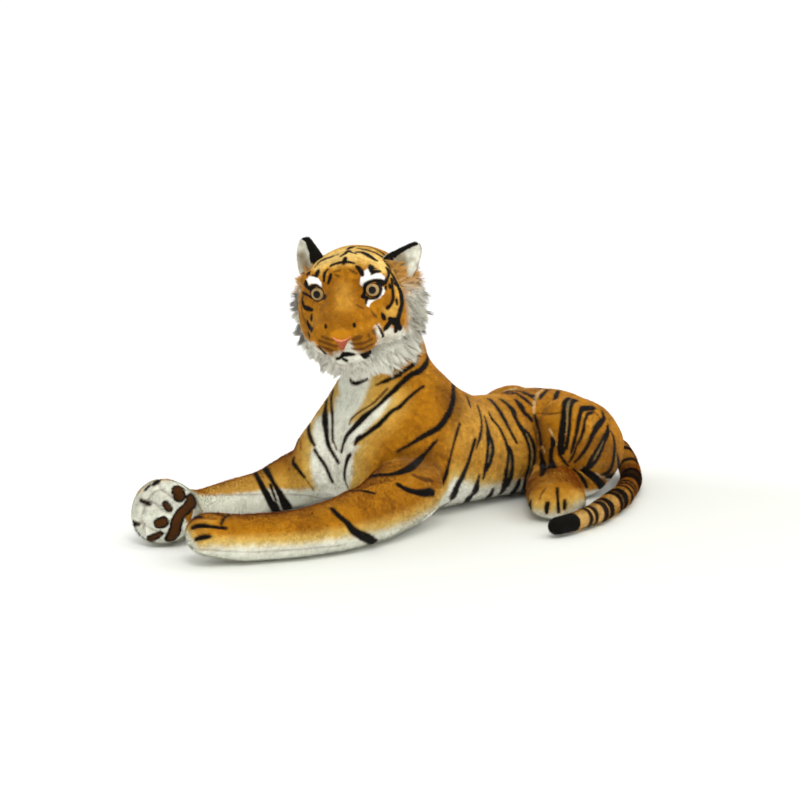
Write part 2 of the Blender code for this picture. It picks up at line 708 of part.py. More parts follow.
torso_cover, torso_filling, torso_seam_cutter = make_torso()
left_room = make_foreleg("left", 1, LEFT_FORELEG_SHARES, LEFT_PAW_DEPTH)
right_room = make_foreleg("right", -1, RIGHT_FORELEG_SHARES, RIGHT_PAW_DEPTH)
tail_room = make_tail()
for made in (torso_cover, torso_filling):
    cut(made, left_room, right_room, tail_room)
for side_name, side_sign in (("left", 1), ("right", -1)):
    elbow_at = place(ELBOW_AHEAD, side_sign * ELBOW_OUT, ELBOW_HEIGHT)
    ball_seat("elbow_seat_" + side_name, elbow_at, ELBOW_RADIUS + JOINT_GAP, torso_cover, torso_filling)
root_at = place(-TAIL_BEHIND, 0, TAIL_HEIGHT)
ball_seat("tail_root_seat", root_at, TAIL_ROOT_DIAMETER / 2 + JOINT_GAP, torso_cover, torso_filling)
cut(torso_cover, FLOOR)
make_hind_leg("left", 1, TAIL_BEHIND - LEFT_THIGH_TO_TAIL, torso_seam_cutter)
make_hind_leg("right", -1, TAIL_BEHIND - RIGHT_THIGH_TO_TAIL, torso_seam_cutter)
head_cover, head_filling, head_frame = make_head()
head_surface = BVHTree.FromBMesh(head_form(1, True))
make_eyes(head_cover, head_filling, head_frame, head_surface)
make_nose(head_cover, head_filling, head_frame, head_surface)
make_ears(head_cover, head_filling, head_frame, head_surface)
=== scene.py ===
"""Dresses a large plush tiger: stuffed skins, sprayed coat, short pile, long ruff, eyes, ears and nose.

Metres, +Z up. The animal faces -X and its own left side is -Y. The skins of body, tail and ears are
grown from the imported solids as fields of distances, so that legs, haunches and chest run into each
other as sewn pile fabric does. The head is grown from stuffed forms of its own. The coat is a list of
sprayed strokes, given by named pixels of the 800 x 800 view and laid on the skins through the camera.
"""

import json
import math

import bpy
import numpy as np
import openvdb
from mathutils import Matrix, Vector
from mathutils.bvhtree import BVHTree
from mathutils.kdtree import KDTree

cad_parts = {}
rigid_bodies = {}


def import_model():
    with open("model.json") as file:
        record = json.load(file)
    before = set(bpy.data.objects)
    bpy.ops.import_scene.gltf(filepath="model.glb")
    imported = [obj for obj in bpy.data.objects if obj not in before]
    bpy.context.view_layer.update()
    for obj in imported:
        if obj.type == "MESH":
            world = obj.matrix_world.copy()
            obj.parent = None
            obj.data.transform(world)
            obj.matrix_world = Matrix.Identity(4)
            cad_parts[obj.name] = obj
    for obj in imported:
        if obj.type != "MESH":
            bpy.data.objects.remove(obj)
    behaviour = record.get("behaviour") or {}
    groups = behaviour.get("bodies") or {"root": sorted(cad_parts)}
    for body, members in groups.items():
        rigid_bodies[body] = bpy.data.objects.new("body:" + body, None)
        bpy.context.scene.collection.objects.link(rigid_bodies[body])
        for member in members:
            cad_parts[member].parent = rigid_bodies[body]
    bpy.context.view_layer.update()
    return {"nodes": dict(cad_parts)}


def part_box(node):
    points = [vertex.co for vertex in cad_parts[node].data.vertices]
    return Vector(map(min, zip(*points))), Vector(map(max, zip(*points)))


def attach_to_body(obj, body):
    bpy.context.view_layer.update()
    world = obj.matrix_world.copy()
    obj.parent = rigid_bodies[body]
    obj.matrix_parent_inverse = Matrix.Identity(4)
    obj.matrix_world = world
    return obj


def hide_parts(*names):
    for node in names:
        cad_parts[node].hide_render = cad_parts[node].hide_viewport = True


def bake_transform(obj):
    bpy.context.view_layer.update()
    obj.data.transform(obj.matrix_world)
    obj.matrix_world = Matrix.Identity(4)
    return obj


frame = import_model()

# Camera of the view, fitted to the resting points and the outline
VIEW_AZIMUTH = math.radians(-41)
VIEW_ELEVATION = math.radians(8.5)
VIEW_DISTANCE = 3.4
METRES_PER_PIXEL = 0.0019
IMAGE_CENTRE_PX = 400
ORIGIN_PX = (440, 503)
SENSOR = 36.0

# Head frame: its middle, and its turn, pitch and roll from facing -Y upright
HEAD_MIDDLE = Vector((-0.211, -0.007, 0.388))
HEAD_TURN = math.radians(36.5)
HEAD_PITCH = math.radians(5)
HEAD_ROLL = math.radians(5.5)

# The sides, and their signs along the head's own x
SIDES = {"left": 1, "right": -1}

# Grids of the distance fields: their steps, how far the fields reach, and the gaps between solids that they close
BODY_STEP = 0.003
HEAD_STEP = 0.002
EAR_STEP = 0.0014
TAIL_STEP = 0.0022
BAND = 0.036
SEAM = 0.0012
MILLIMETRE = 0.001
TINY = 1e-6

# Strokes: the steps along them, the leap of the skin at which one ends, and how their ends taper
STROKE_STEP_PX = 0.6
STROKE_STEP = 0.0015
LEAP = 0.03
TAPER_START = 0.30
TAPER_RATE = 5.0
# Strokes that are seen at a slant are wider on the skin than in the view
SLANT_LIMIT = 0.55
SLANT_SHARE = 0.7
NEIGHBOUR_DOTS = 4

# Keys of the noise's lattice and of the cells of a spray
LATTICE_KEYS = np.array([73856093, 19349663, 83492791])
HASH_STEPS = ((13, 1274126177), (15, 739982445))
HASH_MASK = 0x7FFFFFFF
LATTICE_ORIGIN = 100.0
SEED_SHIFT = 17.31
CELL_KEYS = np.array([1, 100003, 10000600009])

# Colours of the pile, linear
ORANGE = (0.43, 0.172, 0.0050)
DEEP_ORANGE = (0.250, 0.083, 0.0030)
GOLD = (0.68, 0.40, 0.070)
STRAW = (0.62, 0.46, 0.135)
SAND = (0.80, 0.57, 0.19)
BROWN = (0.13, 0.045, 0.006)
SHADE_DEEP_BROWN = (0.150, 0.052, 0.0025)
MUZZLE_BROWN = (0.20, 0.070, 0.006)
WHISKER_BROWN = (0.085, 0.030, 0.004)
SEAM_HIGHLIGHT_GOLD = (0.78, 0.60, 0.28)
SLIT_GOLD = (0.28, 0.21, 0.085)
TAIL_CREAM = (0.80, 0.66, 0.36)
TAIL_BLACK = (0.020, 0.009, 0.003)
EAR_SHADOW = (0.22, 0.17, 0.09)
RUFF_NEAR_DARK = (0.13, 0.095, 0.042)
RUFF_ORANGE = (0.46, 0.20, 0.020)
RUFF_DARK = (0.05, 0.040, 0.022)
RUFF_TIP = (0.66, 0.36, 0.07)
WHITE = (0.88, 0.89, 0.755)
BRIGHT_WHITE = (0.95, 0.94, 0.86)
GREY = (0.46, 0.44, 0.34)
BLACK = (0.0050, 0.0038, 0.0022)
PAD_BROWN = (0.075, 0.026, 0.0045)


def camera_axes():
    a, e = VIEW_AZIMUTH, VIEW_ELEVATION
    right = np.array((math.cos(a), math.sin(a), 0.0))
    up = np.array((-math.sin(a) * math.sin(e), math.cos(a) * math.sin(e), math.cos(e)))
    back = np.array((math.sin(a) * math.cos(e), -math.cos(a) * math.cos(e), math.sin(e)))
    return right, up, back


RIGHT, UP, BACK = camera_axes()
TARGET = METRES_PER_PIXEL * ((ORIGIN_PX[1] - IMAGE_CENTRE_PX) * UP - (ORIGIN_PX[0] - IMAGE_CENTRE_PX) * RIGHT)
EYE_POINT = TARGET + BACK * VIEW_DISTANCE


def ray(px, py):
    """The direction from the camera through a pixel of the view."""
    aim = METRES_PER_PIXEL * ((px - IMAGE_CENTRE_PX) * RIGHT + (IMAGE_CENTRE_PX - py) * UP)
    return Vector(aim - BACK * VIEW_DISTANCE).normalized()


def head_matrix():
    turn = Matrix.Rotation(HEAD_TURN - math.pi / 2, 4, "Z") @ Matrix.Rotation(HEAD_PITCH, 4, "X")
    return Matrix.Translation(HEAD_MIDDLE) @ turn @ Matrix.Rotation(-HEAD_ROLL, 4, "Y")


HEAD = head_matrix()


class Grid:
    """A box of samples one step apart."""

    def __init__(self, low, high, step):
        self.step = step
        self.first = np.floor(np.array(low) / step).astype(int)
        self.count = np.ceil(np.array(high) / step).astype(int) - self.first + 1

    def start(self):
        return tuple(int(i) for i in self.first)

    def coordinates(self):
        x, y, z = [(self.first[i] + np.arange(self.count[i], dtype=np.float32)) * self.step for i in range(3)]
        return x[:, None, None], y[None, :, None], z[None, None, :]

    def local(self, matrix):
        """The samples' coordinates in another frame."""
        x, y, z = self.coordinates()
        m = np.array(matrix.inverted(), np.float32)
        return [m[i, 0] * x + m[i, 1] * y + m[i, 2] * z + m[i, 3] for i in range(3)]


def read_mesh(node):
    mesh = node.data
    mesh.calc_loop_triangles()
    points = np.empty(len(mesh.vertices) * 3, np.float32)
    mesh.vertices.foreach_get("co", points)
    corners = np.empty(len(mesh.loop_triangles) * 3, np.int32)
    mesh.loop_triangles.foreach_get("vertices", corners)
    return points.reshape(-1, 3), corners.reshape(-1, 3)


def distances(points, faces, grid, band):
    """Signed distances to a closed surface, at most the band's width, negative inside."""
    scale = openvdb.createLinearTransform(grid.step)
    kind = {"triangles": faces} if faces.shape[1] == 3 else {"quads": faces}
    made = openvdb.FloatGrid.createLevelSetFromPolygons(points, transform=scale, halfWidth=band / grid.step, **kind)
    values = np.empty(tuple(grid.count), np.float32)
    made.copyToArray(values, ijk=grid.start())
    return values


def components(count, edges):
    """One label for each group of joined vertices."""
    label = np.arange(count)
    first, second = edges
    while True:
        low = np.minimum(label[first], label[second])
        new = label.copy()
        np.minimum.at(new, first, low)
        np.minimum.at(new, second, low)
        new = new[new]
        if np.array_equal(new, label):
            return label
        label = new


def face_edges(faces):
    """The first and the second vertex of every side of every face."""
    return faces.T.ravel(), np.roll(faces, -1, axis=1).T.ravel()


def surface(values, grid):
    """The largest closed surface where the field is zero, as points and quads that face outward."""
    made = openvdb.FloatGrid(float(values.max()))
    made.copyFromArray(np.ascontiguousarray(values), ijk=grid.start())
    made.transform = openvdb.createLinearTransform(grid.step)
    points, quads = made.convertToQuads(isovalue=0.0)
    label = components(len(points), face_edges(quads))
    main = np.bincount(label).argmax()
    kept = label == main
    index = np.cumsum(kept) - 1
    quads = index[quads[kept[quads[:, 0]]]]
    points = points[kept].astype(np.float64)
    a, b, c, d = (points[quads[:, i]] for i in range(4))
    volume = (np.cross(c - a, d - b) * (a + b + c + d)).sum()
    return points, quads[:, ::-1] if volume < 0 else quads


def solid_of(nodes, grid, shrink):
    """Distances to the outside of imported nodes, taken as filled and shrunk by that much."""
    near = np.full(tuple(grid.count), BAND, np.float32)
    for node in nodes:
        np.minimum(near, distances(*read_mesh(frame["nodes"][node]), grid, 4 * grid.step), out=near)
    points, quads = surface(near - SEAM, grid)
    return distances(points.astype(np.float32), quads.astype(np.int32), grid, BAND) + (SEAM + shrink)


def blurred(values, sigma, step):
    """The field after three running means along each axis, close to a Gaussian of that sigma."""
    reach = max(1, int(round(math.sqrt((sigma / step) ** 2 + 0.25) - 0.5)))
    for axis in range(3):
        for _ in range(3):
            pad = [(0, 0)] * 3
            pad[axis] = (reach + 1, reach)
            total = np.cumsum(np.pad(values, pad, mode="edge").astype(np.float64), axis=axis)
            high = np.take(total, range(2 * reach + 1, total.shape[axis]), axis=axis)
            low = np.take(total, range(0, total.shape[axis] - 2 * reach - 1), axis=axis)
            values = ((high - low) / (2 * reach + 1)).astype(np.float32)
    return values


def joined(a, b, soft):
    """Two fields as one, with a fillet that wide."""
    share = np.clip(0.5 + 0.5 * (b - a) / soft, 0, 1)
    return b * (1 - share) + a * share - soft * share * (1 - share)


def carved(a, b, soft):
    """The first field without the second."""
    return -joined(-a, b, soft)


def ball(grid_points, centre, radii):
    """Distances to an ellipsoid, near enough close to its surface."""
    x, y, z = [(p - c) / r for p, c, r in zip(grid_points, centre, radii)]
    length = np.sqrt(x * x + y * y + z * z) + TINY
    steep = np.sqrt((x / radii[0]) ** 2 + (y / radii[1]) ** 2 + (z / radii[2]) ** 2) + TINY
    return length * (length - 1) / steep


def tube(grid_points, stations):
    """Distances to a chain of tapering capsules through (x, y, z, radius)."""
    found = None
    for first, second in zip(stations, stations[1:]):
        a, b = np.array(first[:3]), np.array(second[:3])
        along = b - a
        square = float(along @ along)
        share = sum((p - a[i]) * along[i] for i, p in enumerate(grid_points)) / square
        share = np.clip(share, 0, 1)
        square = sum((p - a[i] - share * along[i]) ** 2 for i, p in enumerate(grid_points))
        gap = np.sqrt(square) - (first[3] + share * (second[3] - first[3]))
        found = gap if found is None else np.minimum(found, gap)
    return found


def noise(points, size, seed=0):
    """Smooth noise from -1 to 1 with lumps of about that size."""
    scaled = np.asarray(points) / size + LATTICE_ORIGIN + SEED_SHIFT * seed
    cell = np.floor(scaled).astype(np.int64)
    part = scaled - cell
    part = part * part * (3 - 2 * part)
    total = np.zeros(len(scaled))
    for corner in range(8):
        step = np.array([corner & 1, corner >> 1 & 1, corner >> 2 & 1])
        key = (cell + step) @ LATTICE_KEYS
        for shift, factor in HASH_STEPS:
            key = (key ^ (key >> shift)) * factor & HASH_MASK
        value = (key >> 8 & 0xFFFF) / 32767.5 - 1
        total += value * np.prod(np.where(step, part, 1 - part), axis=1)
    return total


def layered(points, layers):
    """A sum of noises, each given as (height, size, seed)."""
    return sum(height * noise(points, size, seed) for height, size, seed in layers)


def to_view(points):
    """The pixel of the view at which each point appears."""
    away = points - EYE_POINT
    scale = -(away @ BACK) * METRES_PER_PIXEL / VIEW_DISTANCE
    return IMAGE_CENTRE_PX + (away @ RIGHT) / scale, IMAGE_CENTRE_PX - (away @ UP) / scale


def zone(points, outline):
    """How far inside an outline of pixels each point appears, in metres, and less than 0 outside."""
    px, py = to_view(points)
    inside = np.zeros(len(points), bool)
    gap = np.full(len(points), 1e6)
    for (ax, ay), (bx, by) in zip(outline, outline[1:] + outline[:1]):
        share = ((px - ax) * (bx - ax) + (py - ay) * (by - ay)) / ((bx - ax) ** 2 + (by - ay) ** 2)
        share = np.clip(share, 0, 1)
        gap = np.minimum(gap, np.hypot(px - ax - share * (bx - ax), py - ay - share * (by - ay)))
        if ay != by:
            inside ^= ((ay > py) != (by > py)) & (px < ax + (py - ay) * (bx - ax) / (by - ay))
    return np.where(inside, gap, -gap) * METRES_PER_PIXEL


def below(points, edge):
    """How far under an edge of pixels each point appears, in metres."""
    px, py = to_view(points)
    return (py - np.interp(px, *zip(*edge))) * METRES_PER_PIXEL


def ramp(values, low, high):
    """0 below low, 1 above high, smooth between. High may be the smaller."""
    share = np.clip((values - low) / (high - low), 0, 1)
    return share * share * (3 - 2 * share)


def unit(vectors, least=1e-12):
    """Vectors of length 1, and shorter ones where they are shorter than the least."""
    return vectors / np.maximum(np.linalg.norm(vectors, axis=1), least)[:, None]


class Skin:
    """A surface of quads with a normal at each point."""

    def __init__(self, points, quads):
        self.points = points
        self.quads = quads
        self.settle()

    def settle(self):
        a, b, c, d = (self.points[self.quads[:, i]] for i in range(4))
        self.face_normals = np.cross(c - a, d - b) / 2
        self.face_areas = np.linalg.norm(self.face_normals, axis=1)
        total = np.zeros_like(self.points)
        for corner in range(4):
            for axis in range(3):
                total[:, axis] += np.bincount(self.quads[:, corner], self.face_normals[:, axis], len(self.points))
        self.normals = unit(total)
        self.tree = BVHTree.FromPolygons(self.points.tolist(), self.quads.tolist())

    def smooth_normals(self, rounds):
        """Normals averaged over neighbours, for a soft surface that shades without facets."""
        first, second = face_edges(self.quads)
        normals = self.normals
        for _ in range(rounds):
            total = normals.copy()
            for axis in range(3):
                total[:, axis] += np.bincount(first, normals[second, axis], len(normals))
                total[:, axis] += np.bincount(second, normals[first, axis], len(normals))
            normals = unit(total)
        return normals

    def hit(self, px, py):
        """Where the view's ray through a pixel first meets the skin."""
        spot, normal, _, _ = self.tree.ray_cast(Vector(EYE_POINT), ray(px, py))
        return spot, normal


def curve(points, step):
    """Points along a smooth curve through the given ones, with the share of its length at each."""
    points = [np.array(p, float) for p in points]
    if len(points) == 1:
        return points, [0.5]
    padded = [2 * points[0] - points[1]] + points + [2 * points[-1] - points[-2]]
    made = []
    for k in range(1, len(padded) - 2):
        p0, p1, p2, p3 = padded[k - 1 : k + 3]
        count = max(1, int(math.ceil(np.linalg.norm(p2 - p1) / step)))
        for i in range(count):
            t = i / count
            made.append(0.5 * (2 * p1 + (p2 - p0) * t + (2 * p0 - 5 * p1 + 4 * p2 - p3) * t * t
                               + (3 * p1 - p0 - 3 * p2 + p3) * t ** 3))
    made.append(points[-1])
    lengths = np.concatenate([[0], np.cumsum([np.linalg.norm(b - a) for a, b in zip(made, made[1:])])])
    return made, list(lengths / max(lengths[-1], 1e-9))


class Spray:
    """Sprayed strokes on one skin: dots with a radius, and how far inside them each point lies."""

    def __init__(self):
        self.spots = []
        self.radii = []

    def dot(self, spot, radius):
        self.spots.append(tuple(spot))
        self.radii.append(radius)

    def line_px(self, skin, points, wider=1.0, mirror=None):
        """A stroke along (x, y, width) in pixels of the view. It ends where the view leaps to another limb."""
        made, _ = curve(points, STROKE_STEP_PX)
        runs = [[]]
        for px, py, width in made:
            spot, normal = skin.hit(px, py)
            if spot is None:
                continue
            facing = max(SLANT_LIMIT, abs(Vector(normal) @ Vector(BACK)))
            if runs[-1] and (spot - runs[-1][-1][0]).length > LEAP:
                runs.append([])
            runs[-1].append((spot, width * wider * METRES_PER_PIXEL / 2 / facing ** SLANT_SHARE))
        for spot, radius in max(runs, key=len):
            self.dot(spot, radius)
            near = skin.tree.find_nearest(mirror(spot))[0] if mirror else None
            if near is not None and (near - mirror(spot)).length < LEAP:
                self.dot(near, radius)

    def stroke(self, skin, width, points):
        """A stroke along points in metres, laid on the skin. Its ends taper."""
        for spot, share in zip(*curve(points, STROKE_STEP)):
            place = skin.tree.find_nearest(Vector(spot))[0]
            self.dot(place, width / 2 * min(1.0, TAPER_START + TAPER_RATE * min(share, 1 - share)))

    def depth(self, points, margin):
        """How far inside the nearest dot each point is, in metres, and less than -margin where none is near."""
        found = np.full(len(points), -10 * margin)
        if not self.spots:
            return found
        reach = max(self.radii) + margin
        filled = np.unique(np.floor(np.array(self.spots) / reach).astype(np.int64), axis=0)
        around = np.array(list(np.ndindex(3, 3, 3))) - 1
        filled_keys = (filled[:, None, :] + around).reshape(-1, 3) @ CELL_KEYS
        near = np.isin(np.floor(points / reach).astype(np.int64) @ CELL_KEYS, filled_keys)
        tree = KDTree(len(self.spots))
        for i, spot in enumerate(self.spots):
            tree.insert(spot, i)
        tree.balance()
        alike = len(set(np.round(self.radii, 5))) == 1
        for i in np.flatnonzero(near):
            _, index, gap = tree.find(points[i])
            best = self.radii[index] - gap
            if not alike and best > -margin * 2:
                for _, other, distance in tree.find_n(points[i], NEIGHBOUR_DOTS):
                    best = max(best, self.radii[other] - distance)
            found[i] = best
        return found


# The skins

SKIN_SHRINK = 0.0015
FIELD_MARGIN = 0.042
BODY_LOW, BODY_HIGH = (-0.70, -0.35, -0.045), (0.52, 0.35, 0.41)

# How much each part's form is softened, and the fillets with which the parts join the body
TORSO_BLUR, LEG_BLUR, HAUNCH_BLUR, TAIL_BLUR, EAR_BLUR = 0.013, 0.006, 0.008, 0.003, 0.0022
TORSO_FILLET, ARM_FILLET, LEG_FILLET, HAUNCH_FILLET = 0.001, 0.030, 0.026, 0.010

# The far upper arm, which pushes the chest out ahead of its elbow: (x, y, z, radius)
FAR_ARM = [(-0.139, 0.080, 0.212, 0.040), (-0.158, 0.080, 0.180, 0.044), (-0.190, 0.080, 0.146, 0.046),
           (-0.222, 0.081, 0.114, 0.046), (-0.236, 0.085, 0.080, 0.046)]


def node_box(nodes, margin):
    lows, highs = zip(*[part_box(node) for node in nodes])
    return np.min(np.array(lows), axis=0) - margin, np.max(np.array(highs), axis=0) + margin


def part_field(nodes, sigma, step):
    grid = Grid(*node_box(nodes, FIELD_MARGIN), step)
    return grid, blurred(solid_of(nodes, grid, SKIN_SHRINK), sigma, step)


def merge(field, grid, part_grid, part, soft):
    """Joins a part's field into the larger one where the two grids share samples."""
    offset = part_grid.first - grid.first
    low = np.maximum(offset, 0)
    high = np.minimum(offset + part_grid.count, grid.count)
    big = tuple(slice(a, b) for a, b in zip(low, high))
    small = tuple(slice(a, b) for a, b in zip(low - offset, high - offset))
    field[big] = joined(field[big], part[small], soft)


def both(stem):
    return [stem + "_cover", stem + "_filling"]


def body_skin():
    grid = Grid(BODY_LOW, BODY_HIGH, BODY_STEP)
    whole = np.full(tuple(grid.count), BAND, np.float32)
    merge(whole, grid, *part_field(both("torso"), TORSO_BLUR, BODY_STEP), TORSO_FILLET)
    arm = np.clip(tube(grid.coordinates(), FAR_ARM), -BAND, BAND)
    whole = joined(whole, arm, ARM_FILLET)
    for side in ("left", "right"):
        merge(whole, grid, *part_field(both("foreleg_" + side), LEG_BLUR, BODY_STEP), LEG_FILLET)
        haunch = both("thigh_" + side) + both("hind_paw_" + side)
        merge(whole, grid, *part_field(haunch, HAUNCH_BLUR, BODY_STEP), HAUNCH_FILLET)
    return Skin(*surface(whole, grid))


# The tail is plumper towards its root, and its tip is tucked in: by how much, and from where to where along x
TAIL_PLUMP, TAIL_PLUMP_X = 0.0022, (0.02, 0.16)
TAIL_TIP_TUCK, TAIL_TUCK_X = 0.0030, (0.10, 0.0)


def tail_skin():
    grid, field = part_field(both("tail_base") + both("tail_end"), TAIL_BLUR, TAIL_STEP)
    x = grid.coordinates()[0]
    plump = TAIL_PLUMP * ramp(x, *TAIL_PLUMP_X) - TAIL_TIP_TUCK * ramp(x, *TAIL_TUCK_X)
    return Skin(*surface(field - plump, grid))


# The head's stuffed forms in its own frame: whether there is one on each side, what it is and its measures,
# and the fillet that joins it to those before it
HEAD_BOX = (0.175, 0.165)
HEAD_FORMS = [
    (False, ball, ((0, 0.016, 0.0215), (0.096, 0.100, 0.0845)), None),
    (True, ball, ((0.050, -0.020, -0.012), (0.046, 0.056, 0.054)), 0.030),
    (False, tube, ([(0, -0.044, 0.060, 0.037), (0, -0.082, -0.004, 0.038)],), 0.026),
    (False, ball, ((0, -0.076, -0.024), (0.059, 0.045, 0.041)), 0.022),
    (True, ball, ((0.029, -0.095, -0.037), (0.032, 0.030, 0.026)), 0.012),
    (False, ball, ((0, -0.074, -0.070), (0.036, 0.031, 0.019)), 0.006),
    (True, ball, ((0.047, -0.058, 0.063), (0.030, 0.026, 0.017)), 0.018),
    (True, tube, ([(0.078, 0.026, 0.046, 0.018), (0.090, 0.018, 0.012, 0.020), (0.092, 0.012, -0.028, 0.021),
                   (0.078, 0.002, -0.066, 0.021), (0.048, -0.016, -0.092, 0.020), (0, -0.028, -0.098, 0.020)],), 0.030),
]
EYE_SOCKET = ((0.049, -0.090, 0.040), (0.019, 0.017, 0.014))
SOCKET_FILLET = 0.010


def head_skin():
    middle = np.array(HEAD_MIDDLE)
    grid = Grid(middle - HEAD_BOX[0], middle + HEAD_BOX[1], HEAD_STEP)
    whole = grid.local(HEAD)
    pair = [np.abs(whole[0]), whole[1], whole[2]]
    field = None
    for paired, form, measures, soft in HEAD_FORMS:
        part = form(pair if paired else whole, *measures)
        field = part if field is None else joined(field, part, soft)
    field = carved(field, ball(pair, *EYE_SOCKET), SOCKET_FILLET)
    return Skin(*surface(np.clip(field, -BAND, BAND), grid))


# A plane that shapes each ear's upper edge: a point on it and the way it faces, in the head's own frame
EAR_TRIM = {"right": ((-0.062, 0.112), (0.82, 0.57)), "left": ((0.069, 0.090), (-0.33, 0.94))}
EAR_MARGIN = 0.012
EAR_SHRINK = 0.0003
EAR_FILLET = 0.006


def ear_nodes(side):
    return ["ear_%s_back" % side, "ear_%s_lining" % side]


def ear_skin(side):
    grid = Grid(*node_box(ear_nodes(side), EAR_MARGIN), EAR_STEP)
    field = solid_of(ear_nodes(side), grid, EAR_SHRINK)
    x, _, z = grid.local(HEAD)
    (at_x, at_z), (way_x, way_z) = EAR_TRIM[side]
    field = carved(field, -(way_x * (x - at_x) + way_z * (z - at_z)), EAR_FILLET)
    return Skin(*surface(blurred(field, EAR_BLUR, EAR_STEP), grid))


BODY = body_skin()
HEAD_SKIN = head_skin()
TAIL = tail_skin()
EARS = {side: ear_skin(side) for side in ("left", "right")}


# Relief: width in pixels, depth in millimetres (inward above 0), then pixels of the view

BODY_RELIEF = [
    (2.2, 4.5, [(189, 529), (193, 527.6), (200, 525.8), (212, 526.6), (225, 528)]),
    (2.0, 3.5, [(190.8, 520), (196.7, 517.5), (206, 516.8)]),
    (1.8, 2.5, [(203, 512.8), (214, 513), (228, 516)]),
    (1.8, 2.0, [(221, 523.6), (225, 517.5), (230, 514)]),
    (2.0, 3.0, [(190, 538.5), (197, 538.2), (210, 537)]),
    (3.5, -2.6, [(193, 523.5), (203, 521.8), (216, 522)]),
    (3.5, -2.6, [(192, 533), (203, 532), (216, 532.6)]),
    (2.2, 3.4, [(159, 481), (161, 489), (167, 493), (174, 498), (182, 504)]),
    (2.2, 3.4, [(146, 500.5), (156, 504), (163, 510), (172, 514)]),
    (2.2, 3.4, [(134, 522), (143, 523), (152, 529), (166, 534)]),
    (2.0, 2.6, [(161, 489), (151, 495), (144.5, 507), (142, 521), (146, 534)]),
    (4.5, -3.4, [(176, 492), (179, 497)]),
    (4.5, -3.4, [(165, 504), (170, 510)]),
    (4.5, -3.4, [(157, 522), (163, 525)]),
    (3.5, -2.4, [(152, 538), (159, 535)]),
    (4.0, -2.6, [(152, 487), (155, 484)]),
    (4.0, -2.6, [(143, 497), (139, 508)]),
    (4.0, -2.6, [(136, 529), (139, 536)]),
    (5.0, -2.0, [(191, 504), (183, 515), (177, 530)]),
    (2.6, 3.0, [(351, 486), (362, 480.5), (376, 476), (394, 475)]),
    (2.4, 2.4, [(396, 485), (409, 491), (422, 494), (436, 493)]),
    (4.0, -2.2, [(352, 497), (372, 487.5), (392, 484)]),
    (2.2, 1.4, [(349, 504), (354, 512), (353, 522)]),
    (2.2, 1.2, [(372, 494), (377, 508), (375, 522)]),
    (2.4, 1.4, [(388, 494), (394, 508), (392, 526)]),
    (2.4, 1.2, [(406, 500), (411, 512), (407, 526)]),
    (1.8, 1.2, [(322, 503), (331, 511), (334, 520)]),
    (1.5, 1.4, [(190, 545), (202, 548.6), (230, 550.4), (262, 551), (300, 549), (340, 545.4), (378, 540)]),
    (1.4, 1.0, [(207, 497.5), (240, 495), (280, 494), (325, 499.6)]),
    (2.0, 2.2, [(346, 379), (346, 400), (343.4, 430), (341, 452), (343.4, 470), (346, 488)]),
    (1.8, 1.4, [(343.4, 450), (336, 462), (331, 474)]),
    (2.4, 2.6, [(539, 390), (535.4, 400), (533.6, 411), (536, 424), (540, 439), (545, 468)]),
    (4.5, -2.8, [(545, 396), (541, 411), (543.6, 428), (549, 446)]),
    (2.2, 3.6, [(566, 467), (560, 458), (554, 444)]),
    (2.2, 3.6, [(566, 467), (575, 470), (584, 471)]),
    (2.0, 2.6, [(566, 467), (571, 458), (576, 451)]),
    (2.6, 4.4, [(566, 467), (583, 471.5), (598, 478), (614, 483)]),
    (1.6, 1.0, [(536, 413.6), (550, 413.8), (560, 412)]),
    (3.2, 1.6, [(466, 392), (473, 410), (474, 430), (469, 452)]),
    (3.0, 1.4, [(482, 402), (492, 424), (497, 446)]),
    (3.0, 1.2, [(503, 408), (511, 430), (516, 456)]),
    (2.0, 1.8, [(433, 388), (446, 393), (453, 404), (456, 420)]),
    (2.0, 2.4, [(557, 486), (557.9, 500), (558.3, 514)]),
    (1.8, 2.0, [(539.5, 496), (538.6, 505), (539, 515)]),
    (1.8, 2.0, [(573, 494), (573, 503), (571, 512)]),
]

HEAD_RELIEF = [
    (1.8, 2.6, [(342, 349), (342.3, 354.6)]),
    (1.8, 2.4, [(314.6, 337), (321, 346), (331, 353.4), (342, 355.4), (354, 355), (366, 350.4), (377, 341),
                (381, 331)]),
    (3.0, 1.8, [(365.5, 305), (371, 313), (378, 322)]),
    (3.0, 1.6, [(324, 303), (320, 312), (316.6, 322)]),
    (3.0, 1.4, [(344, 262), (344.6, 272), (344, 282)]),
    (2.4, 2.2, [(366, 353.6), (371, 354.4), (374, 351)]),
    (2.4, -1.6, [(309, 285), (314, 283.4), (320, 285.6)]),
    (2.4, -1.8, [(365, 284), (373, 281.4), (382, 282)]),
]

# Stuffing: height, size and seed of its lumps, and from where to where above the floor they set in
LUMPS = ((0.0017, 0.075, 60), (0.0005, 0.024, 61))
LUMPS_Z = (0.004, 0.030)
HEAD_LUMPS, TAIL_LUMPS = 0.35, 0.6
CREASE_REACH = 2.2
REST_GAP = 0.0006


def press(skin, strokes, lumps=1.0):
    """Presses creases and toes into a skin, and gives it the soft unevenness of stuffing."""
    move = np.zeros(len(skin.points))
    for width, depth, points in strokes:
        line = Spray()
        line.line_px(skin, [(x, y, 0) for x, y in points])
        wide = width * METRES_PER_PIXEL
        away = line.depth(skin.points, CREASE_REACH * wide)
        move -= depth * MILLIMETRE * np.exp(-((away / wide) ** 2)) * (away > -CREASE_REACH * wide)
    move += lumps * layered(skin.points, LUMPS) * ramp(skin.points[:, 2], *LUMPS_Z)
    skin.points = skin.points + skin.normals * move[:, None]
    skin.points[:, 2] = np.maximum(skin.points[:, 2], REST_GAP)
    skin.settle()


